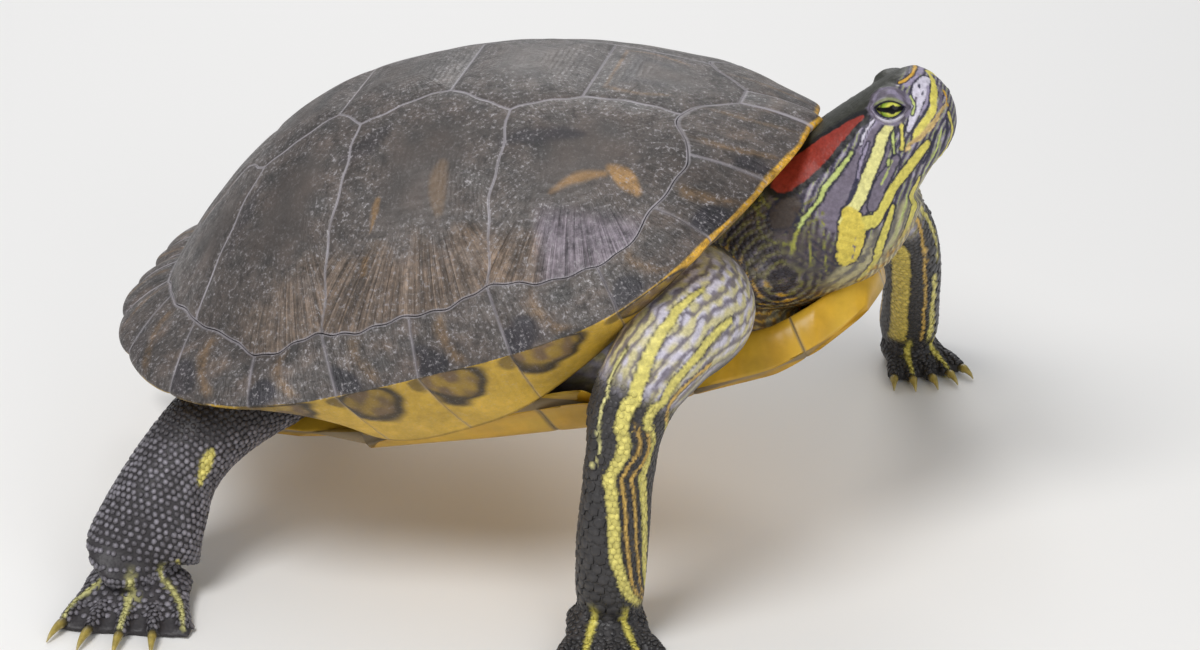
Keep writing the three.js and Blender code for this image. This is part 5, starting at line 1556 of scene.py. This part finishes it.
def paint_skin(points):
    """Colour of the skin anywhere: the trunk's, with neck, limbs, tail and head laid over it."""
    grain = ripple(points, 5, 91)
    tint = mix(NECK_BROWN * 0.8, SKIN_DARK, 0.5 + 0.4 * grain)
    fore_pocket = ease((points[:, 0] - 26) / 10)
    folds = ease(np.sin(points[:, 2] * 1.9 + 1.5 * grain) * 0.8 + 0.3)
    tint = mix(tint, mix(WHITISH, CREAM, ease(0.5 + grain)), fore_pocket * (0.5 + 0.45 * folds))
    chosen = within(points, TAIL_STATIONS, 14)
    place, angle, share = limb_place(points[chosen], TAIL_STATIONS, UP)
    stripes = ease((np.sin(np.radians(angle) * 5 + 1) - 0.6) / 0.25)
    tail = mix(SKIN_DARK, GOLDEN * 0.9, 0.85 * stripes)
    tint[chosen] = mix(tint[chosen], tail, ease((1.5 - share) / 0.3) * ease((place - 0.4) / 0.6))
    chosen = within(points, NECK_STATIONS, 30)
    place, angle, share = limb_place(points[chosen], NECK_STATIONS, UP)
    tint[chosen] = mix(tint[chosen], paint_neck(points[chosen]),
                       ease((1.4 - share) / 0.25) * ease((place - 0.3) / 0.5))
    for name, leg in LEGS.items():
        chosen = within(points, leg["limb"] + palm_stations(leg).tolist(), 24)
        place, angle, share = limb_place(points[chosen], leg["limb"], LIMB_UP)
        low = points[chosen][:, 2] < 9
        weight = np.maximum(ease((1.55 - share) / 0.35) * ease((place - 0.5) / 0.6), low * 1.0)
        tint[chosen] = mix(tint[chosen], paint_leg(points[chosen], name), weight)
    head = to_head(points)
    chosen = (head[:, 0] > -46) & (np.abs(head[:, 1]) < 24) & (head[:, 2] > -30) & (head[:, 2] < 24)
    blend = ease((head[chosen, 0] + 45) / 7) * ease((head[chosen, 2] + 27) / 4)
    tint[chosen] = mix(tint[chosen], paint_head(head[chosen]), blend)
    return tint


def plain_skin(mesh, points, tint):
    """Which points may be thinned: the share of them whose colour differs least from their
    neighbours', by the greatest step over two edges, with steps under a leg's scales counted less."""
    edges = mesh_edges(mesh)
    seen = np.clip(tint, 0, 1) ** 0.42
    step = np.abs(seen[edges[:, 0]] - seen[edges[:, 1]]).max(1)
    change = np.zeros(len(points))
    for _ in range(2):
        for end in (0, 1):
            np.maximum.at(change, edges[:, end], step)
        step = np.maximum(change[edges[:, 0]], change[edges[:, 1]])
    for name, leg in LEGS.items():
        covered = within(points, leg["limb"][4 if name.startswith("fore") else 1:], 15)
        change[covered] *= 0.25
    change[hidden_share(points) > 0.2] = np.inf
    return change <= np.quantile(change, PLAIN_SHARE)


def skin_piece():
    """The finished skin: one closed mesh with its relief and its markings."""
    mesh = fused_skin()
    points = mesh_points(mesh)
    normals = np.empty(len(points) * 3, np.float32)
    mesh.vertex_normals.foreach_get("vector", normals)
    normals = normals.reshape(-1, 3).astype(float)
    head = to_head(points)
    near = head[:, 0] > -36
    moved = head_relief(head[near], normals[near] @ HEAD_TURN)
    fade = ease((head[near, 0] + 36) / 4)
    points[near] = mix(points[near], from_head(moved), fade)
    points[:, 2] = np.maximum(points[:, 2], 0.0)
    store_points(mesh, points)
    work = bmesh.new()
    work.from_mesh(mesh)
    tree = BVHTree.FromBMesh(work)
    work.free()
    head_marks.extend((shade, border, width, laid_on_skin(path, tree))
                      for shade, border, width, path in HEAD_STROKES)
    tint = paint_skin(points)
    set_attributes(mesh, {"tint": tint})
    mesh = thinned(mesh, plain_skin(mesh, points, tint), 0.2)
    points = mesh_points(mesh)
    points[:, 2] = np.maximum(points[:, 2], 0.002)
    store_points(mesh, points)
    mesh.polygons.foreach_set("use_smooth", np.ones(len(mesh.polygons), bool))
    nodes = ["trunk", "head", "lower_jaw", "neck", "tail"] + [f"leg_{name}" for name in LEGS]
    return piece("skin", mesh, materials["skin"], nodes)


# ------------------------------------------------------------------ scales

RIM_POINTS = 6
PATCH = 0.0015                 # half-size of a scale's patch on the unwrap
ROOT_REACH = 0.0048            # farthest skin that a scale's place is dropped to, m
HIGHLIGHT_BELOW = 0.14              # brightness over which no crown gets a painted highlight
HIGHLIGHT_TOP = 43                  # height over which no crown gets a painted highlight, in the shell's shade, mm


def scale_template():
    """A scale: a six-sided rim sunk in the skin, so that staggered rows tile, a raised ring, a flat
    crown and a root, in shares of its length, width and height. Returns points and triangles."""
    angle = np.arange(RIM_POINTS) * 2 * np.pi / RIM_POINTS
    ring = np.stack([np.cos(angle), np.sin(angle), np.zeros(RIM_POINTS)], -1)
    points = np.vstack([ring - [0, 0, 0.5], ring * 0.82 + [0, 0, 0.86], [[0, 0, 1.0]], [[0, 0, -1.3]]])
    a = np.arange(RIM_POINTS)
    b = (a + 1) % RIM_POINTS
    top, root = 2 * RIM_POINTS, 2 * RIM_POINTS + 1
    faces = np.vstack([
        np.stack([a, b, b + RIM_POINTS], -1), np.stack([a, b + RIM_POINTS, a + RIM_POINTS], -1),
        np.stack([a + RIM_POINTS, b + RIM_POINTS, np.full(RIM_POINTS, top)], -1),
        np.stack([b, a, np.full(RIM_POINTS, root)], -1),
    ])
    return points, faces


def lattice(stations, pitch, wide, first, last_station, low_angle, high_angle):
    """Staggered rows of places on a loft: station, angle in degrees and the unwrap's two shares.
    Rows lie pitch apart along the path and places wide apart round it, each a little astray."""
    stations = np.asarray(stations, float)
    fine = np.linspace(first, last_station, 400)
    centre = through(stations[:, :3], fine)
    length = arc_length(centre, 0)
    rows = []
    for number, reach in enumerate(np.arange(pitch / 2, length[-1], pitch)):
        station = np.interp(reach, length, fine)
        half = through(stations[:, 3:5], np.array([station]))[0]
        round_length = 2 * np.pi * half.mean() * (high_angle - low_angle) / 360
        count = max(int(round_length / wide), 1)
        angle = low_angle + (np.arange(count) + 0.5 * (number % 2)
                             + 0.25) * (high_angle - low_angle) / count
        rows.append(np.stack([np.full(count, station), angle], -1))
    places = np.vstack(rows)
    step = pitch / max(length[-1], 1e-6) * (last_station - first)
    places[:, 0] += rng.uniform(-0.16, 0.16, len(places)) * step
    places[:, 1] += rng.uniform(-0.14, 0.14, len(places)) * np.degrees(wide / stations[:, 3:5].mean())
    return places


def rooted(places, stations, up, tree):
    """Drops places on a loft to the nearest skin. Returns points, normals, directions along the
    limb and which places were kept, those that the skin passes under."""
    centre, tangent, _, _, _ = loft_frame(stations, up, places[:, 0])
    surface = loft_surface(stations, up, places[:, 0], np.radians(places[:, 1]))
    out = unit(surface - centre)
    found, normals, kept = [], [], []
    for number, (spot, away) in enumerate(zip((surface + SHIFT) * 0.001, out)):
        where, normal, _, gap = tree.find_nearest(Vector(spot))
        if gap < ROOT_REACH and normal.dot(Vector(away)) > 0.1:
            found.append(where)
            normals.append(normal)
            kept.append(number)
    kept = np.array(kept, int)
    points = np.array(found, float).reshape(-1, 3) * 1000 - SHIFT
    normals = np.array(normals, float).reshape(-1, 3)
    along = tangent[kept] - normals * (tangent[kept] * normals).sum(1, keepdims=True)
    return points, normals, unit(along), kept


def scale_patch(stations, up, tree, zone, unwrap):
    """Scales of one zone of a loft, ready to be joined. zone gives pitch and width between scales,
    stations and angles, height and how far the free edge lifts, all in mm. unwrap gives the place
    of the zone's u and v on the coat's map: start and size of each."""
    places = lattice(stations, zone["pitch"], zone["wide"], *zone["stations"], *zone["angles"])
    points, normals, along, kept = rooted(places, stations, up, tree)
    if not len(kept):
        return None
    places = places[kept]
    size = np.stack([np.full(len(kept), zone["pitch"] * 0.63),
                     np.full(len(kept), zone["wide"] * 0.56)], -1)
    size *= rng.uniform(0.9, 1.08, (len(kept), 2))
    tall = zone["height"] * rng.uniform(0.75, 1.2, len(kept))
    u = unwrap[0] + unwrap[1] * ((places[:, 1] % 360) / 360)
    v = unwrap[2] + unwrap[3] * places[:, 0] / (len(stations) - 1)
    return dict(points=points, normals=normals, along=along, size=size, tall=tall,
                lift=np.full(len(kept), zone["lift"]), uv=np.stack([u, v], -1))


def coat_piece(name, patches, crown_highlight=None):
    """All scales of a coat in one mesh: each root carries the template, stretched along and across
    the limb, its crown raised along the skin's normal and its far edge lifted."""
    patches = [patch for patch in patches if patch is not None]
    roots = {key: np.concatenate([patch[key] for patch in patches]) for key in patches[0]}
    shape, corners = scale_template()
    across = np.cross(roots["normals"], roots["along"])
    count = len(roots["points"])
    astray = np.tile(rng.uniform(0.88, 1.12, (count, RIM_POINTS)), 2)
    astray = np.hstack([astray, np.ones((count, 2))])
    reach = shape[None, :, :2] * roots["size"][:, None] * astray[..., None]
    height = shape[None, :, 2] * roots["tall"][:, None] + roots["lift"][:, None] * shape[None, :, 0]
    points = (roots["points"][:, None] + roots["along"][:, None] * reach[..., :1]
              + across[:, None] * reach[..., 1:] + roots["normals"][:, None] * height[..., None])
    points = points.reshape(-1, 3)
    points[:, 2] = np.maximum(points[:, 2], 0.02)
    faces = (corners[None] + (np.arange(count) * len(shape))[:, None, None]).reshape(-1, 3)
    flesh = paint_skin(points).reshape(count, -1, 3) * rng.uniform(0.85, 1.15, (count, 1, 1))
    if crown_highlight is not None:
        # dark scales get a pale painted highlight on the crown, each to its own degree, but none where the
        # shell shades them
        worn = np.concatenate([np.zeros(RIM_POINTS), np.full(RIM_POINTS, 0.3), [0.7, 0.0]])
        pale = worn * rng.uniform(0.25, 1, (count, 1)) * ease((HIGHLIGHT_BELOW - flesh.mean(-1)) / 0.08)
        pale = pale * ease((HIGHLIGHT_TOP - points[:, 2].reshape(count, -1)) / 7)
        flesh = mix(flesh.reshape(-1, 3), crown_highlight, pale.ravel()).reshape(flesh.shape)
    # painted shade in the gaps between scales: rims and roots darkened; crowns a little lighter as a
    # painted highlight
    light = np.concatenate([np.full(RIM_POINTS, 0.4), np.full(RIM_POINTS, 1.0), [1.1, 0.4]])
    tint = (flesh * light[None, :, None]).reshape(-1, 3)
    mesh = make_mesh(name, points, [faces], {"tint": tint})
    flat = (roots["uv"][:, None] + shape[None, :, :2] * PATCH).reshape(-1, 2)
    layer = mesh.uv_layers.new(name="OFBake")
    layer.data.foreach_set("uv", flat[faces.ravel()].astype(np.float32).ravel())
    return piece(name, mesh, materials["scales"])


def leg_coat(name, tree):
    """A leg's coat: broad overlapping scales in rows on the outer side of the forearm, rounded
    grains elsewhere, and scutes over the palm and each digit."""
    leg = LEGS[name]
    fore = name.startswith("fore")
    stations, unwrap = leg["limb"], (0.0, 1.0, 0.0, 0.55)
    last = len(stations) - 1
    if fore:
        outer = (-95, 5) if "right" in name else (-10, 110)
        grains = (outer[1], outer[0] + 360)
        zones = [
            dict(pitch=2.6, wide=3.1, stations=(3.2, last), angles=outer, height=0.22, lift=0.16),
            dict(pitch=1.5, wide=1.6, stations=(2.8, last), angles=grains, height=0.12, lift=0.05),
            dict(pitch=1.5, wide=1.5, stations=(2.8, 3.2), angles=outer, height=0.12, lift=0.04),
        ]
    else:
        zones = [dict(pitch=1.45, wide=1.6, stations=(0.8, last), angles=(0, 360), height=0.36,
                      lift=0.06)]
    patches = [scale_patch(stations, LIMB_UP, tree, zone, unwrap) for zone in zones]
    palm = palm_stations(leg)
    zone = dict(pitch=1.7, wide=1.8, stations=(0.8, 4.0), angles=(10, 170), height=0.26, lift=0.08)
    patches.append(scale_patch(palm, UP, tree, zone, (0.0, 1.0, 0.58, 0.18)))
    for k in range(DIGITS):
        zone = dict(pitch=1.45, wide=1.5, stations=(0.7, 3.0), angles=(15, 165), height=0.26, lift=0.14)
        patches.append(scale_patch(digit_stations(leg, k), UP, tree, zone,
                                   (k / DIGITS, 0.9 / DIGITS, 0.8, 0.19)))
    # the hind legs' scales get a pale painted highlight on their crowns
    return coat_piece(f"scales_{name}", patches, None if fore else CROWN_HIGHLIGHT_GREY)


def plain_coat(name, loft, tree, **zone):
    """A coat of one zone, whose map is the whole unwrap."""
    return coat_piece(name, [scale_patch(loft, UP, tree, zone, (0.0, 1.0, 0.0, 1.0))])


# ------------------------------------------------------------------ eyes and claws

IRIS_RINGS = [(1.05, "#0f0e10"), (1.2, "#d9d764"), (1.6, "#c8c84e"), (1.9, "#a0ad48"), (2.5, "#7c962c"),
              (2.9, "#4a521f"), (3.3, "#85893f"), (4.5, "#8d8a44")]
GAZE = {"along": 0.7, "across": 0.5}       # how far the pupil lies off the slit's middle, mm


def eye_piece(word, side):
    """An eyeball: a sphere from latitude and longitude, coloured in rings about the gaze with a
    black bar across the iris along the slit."""
    local, faces = ball_body(np.zeros(3), EYE_RADIUS, 80, 120)
    p = local * [1, side, 1]
    along = p @ SLIT_ALONG - GAZE["along"]
    across = p @ SLIT_ACROSS - GAZE["across"]
    mottled = ripple(p, 0.9, 101)
    off = np.hypot(along, across) + 0.1 * mottled
    rings = np.array([colour(code) for _, code in IRIS_RINGS])
    reach = [radius for radius, _ in IRIS_RINGS]
    tint = np.stack([np.interp(off, reach, rings[:, k]) for k in range(3)], -1)
    tint = tint * (1 + 0.3 * mottled * ease((off - 1.4) / 0.5))[:, None]
    bar = np.maximum(np.abs(across) / (0.86 - 0.12 * np.abs(along)), np.abs(along + 0.5) / 3.4)
    tint = mix(tint, colour("#100f10"), ease((1.08 - bar) / 0.14))
    points = from_head(local + [0, side * EYE_OFFSET, 0])
    mesh = make_mesh(f"eyeball_{word}", points, outward(points, faces), {"tint": tint})
    return piece(f"eyeball_{word}", mesh, materials["eye"], [f"eye_{word}"])


def claw_pieces(name):
    """Claws of a foot: cones along a path that leaves the digit level and bends down to a point."""
    leg = LEGS[name]
    for k in range(leg["claws"]):
        start, way, length = digit_layout(leg, k)
        claw = leg["digit"] * 0.62
        rows = [(length - 0.6, 2.0, 1.0), (length + 1.4, 2.25, CLAW_RADIUS),
                (length + claw * 0.45, 2.2, 0.9),
                (length + claw * 0.78, 1.5, 0.5), (length + claw, 0.5, 0.12)]
        stations = [[*(start + way * reach), height, half, half * 1.1] for reach, height, half in rows]
        points, faces = loft_body(stations, UP, 26, 18, 0.0)
        points[:, 2] = np.maximum(points[:, 2], 0.0)
        share = np.clip(((points[:, :2] - start) @ way - length) / claw, 0, 1)
        tint = mix(colour("#4d4632"), colour("#a8944a"), ease(share * 2.2))
        tint = mix(tint, colour("#c9bb86"), ease((share - 0.75) / 0.3) * 0.6)
        label = f"claw_{name}_{k + 1}"
        mesh = make_mesh(f"{label}_horn", points, faces, {"tint": tint})
        piece(f"{label}_horn", mesh, materials["claw"], [label])


# ------------------------------------------------------------------ stage, light and camera

def area_light(name, place, aim, size, power):
    """A round lamp size metres across, turned towards aim."""
    lamp = bpy.data.lights.new(name, "AREA")
    lamp.shape = "DISK"
    lamp.size = size
    lamp.energy = power
    obj = bpy.data.objects.new(name, lamp)
    obj.location = place
    obj.rotation_euler = (Vector(aim) - Vector(place)).to_track_quat("-Z", "Y").to_euler()
    bpy.context.scene.collection.objects.link(obj)


def build_stage():
    """Pale matt floor, a white surround and soft lamps."""
    material = finish_material(new_material("matt_studio_floor")[0], {
        "Base Color": rgba("#f1efec"), "Roughness": 0.9})
    mesh = bpy.data.meshes.new("floor")
    mesh.from_pydata([(-4, -4, 0), (4, -4, 0), (4, 4, 0), (-4, 4, 0)], [], [(0, 1, 2, 3)])
    mesh.materials.append(material)
    floor = bpy.data.objects.new("floor", mesh)
    bpy.context.scene.collection.objects.link(floor)
    world = bpy.data.worlds.new("studio")
    bpy.context.scene.world = world
    world.use_nodes = True
    world.node_tree.nodes.clear()
    tree = world.node_tree
    seen = add_node(tree, "ShaderNodeLightPath").outputs["Is Camera Ray"]
    soft, white = [
        add_node(tree, "ShaderNodeBackground", {"Color": tint, "Strength": strength}).outputs[0]
        for tint, strength in [(rgba("#e8ecf2"), 0.45), ((1, 1, 1, 1), 1.0)]]
    both = add_node(tree, "ShaderNodeMixShader", {0: seen, 1: soft, 2: white})
    add_node(tree, "ShaderNodeOutputWorld", {"Surface": both.outputs[0]})
    area_light("key", (-0.25, -0.55, 0.95), (0, 0, 0.05), 0.5, 6.6)
    area_light("fill", (0.75, -0.75, 0.45), (0.02, 0, 0.06), 0.7, 2.6)
    area_light("back", (-0.2, 0.8, 0.7), (0, 0, 0.08), 0.6, 3.2)


CAMERA_AZIMUTH = np.radians(13.9)
CAMERA_ELEVATION = np.radians(26.4)
CAMERA_DISTANCE = 930.0
CAMERA_ASIDE = 23.9            # the aim, to the right of the shell's middle and below it
CAMERA_BELOW = 18.2
CAMERA_LENS = 108.7


def build_camera():
    """Camera in front of the right side, above, looking at a point beside the shell's middle."""
    sa, ca = np.sin(CAMERA_AZIMUTH), np.cos(CAMERA_AZIMUTH)
    se, ce = np.sin(CAMERA_ELEVATION), np.cos(CAMERA_ELEVATION)
    back = np.array([sa * ce, -ca * ce, se])
    right = np.array([ca, sa, 0])
    up = np.array([-sa * se, ca * se, ce])
    target = np.array([0, 0, SHELL_CENTRE_HEIGHT]) + CAMERA_ASIDE * right - CAMERA_BELOW * up
    camera = bpy.data.cameras.new("camera")
    camera.lens = CAMERA_LENS
    camera.sensor_width = 36
    obj = bpy.data.objects.new("camera", camera)
    obj.location = Vector((target + back * CAMERA_DISTANCE + SHIFT) * 0.001)
    obj.rotation_euler = Vector(-back).to_track_quat("-Z", "Y").to_euler()
    bpy.context.scene.collection.objects.link(obj)
    bpy.context.scene.camera = obj


# ------------------------------------------------------------------ assembly

materials = {
    "scute": scute_keratin(),
    "belly": belly_keratin(),
    "skin": reptile_skin("turtle_skin", 0.45, 0.8, 0.35),
    "scales": reptile_skin("turtle_scales", 0.38, 0.7, 0.12),
    "eye": cornea(),
    "claw": claw_horn(),
}
VERTEBRAL_CENTRES = [(0.29, 0), (0.13, 0), (-0.045, 0), (-0.20, 0), (-0.36, 0)]
COSTAL_CENTRES = [(0.215, 0.175), (0.02, 0.19), (-0.17, 0.19), (-0.30, 0.165)]
SIDES = [("left", 1), ("right", -1)]
MARGINAL_SPANS = [(0, 2)] + [(k, k + 1) for k in range(2, LAST)]
RUNS = {"1_3": (0, 4), "4_6": (4, 7), "7_9": (7, 10), "10_12": (10, LAST)}

bpy.context.scene.view_settings.view_transform = "Standard"
build_camera()
build_stage()
for number in range(5):
    carapace_plate(f"vertebral_{number + 1}", vertebral_outline(number), VERTEBRAL_CENTRES[number], 1)
for word, side in SIDES:
    for number in range(4):
        carapace_plate(f"costal_{word}_{number + 1}", costal_outline(number),
                       COSTAL_CENTRES[number], side)
    for number, (start, end) in enumerate(MARGINAL_SPANS):
        run = next(key for key, (low, high) in RUNS.items() if low <= start < high)
        marginal_plate(f"marginal_plate_{word}_{number + 1}", start, end, side,
                       [f"marginal_{word}_{run}"])
    eye_piece(word, side)
nuchal_plate()
for number in range(6):
    plastron_plate(number)
skin = skin_piece()
for name in LEGS:
    claw_pieces(name)
skin_tree = BVHTree.FromObject(skin, bpy.context.evaluated_depsgraph_get())
for name in LEGS:
    leg_coat(name, skin_tree)
plain_coat("scales_neck", NECK_STATIONS, skin_tree, pitch=1.3, wide=1.3, stations=(0.9, 2.6),
           angles=(-180, 180), height=0.08, lift=0.03)
plain_coat("scales_tail", TAIL_STATIONS, skin_tree, pitch=1.6, wide=1.5, stations=(0.8, 5.8),
           angles=(0, 360), height=0.24, lift=0.1)
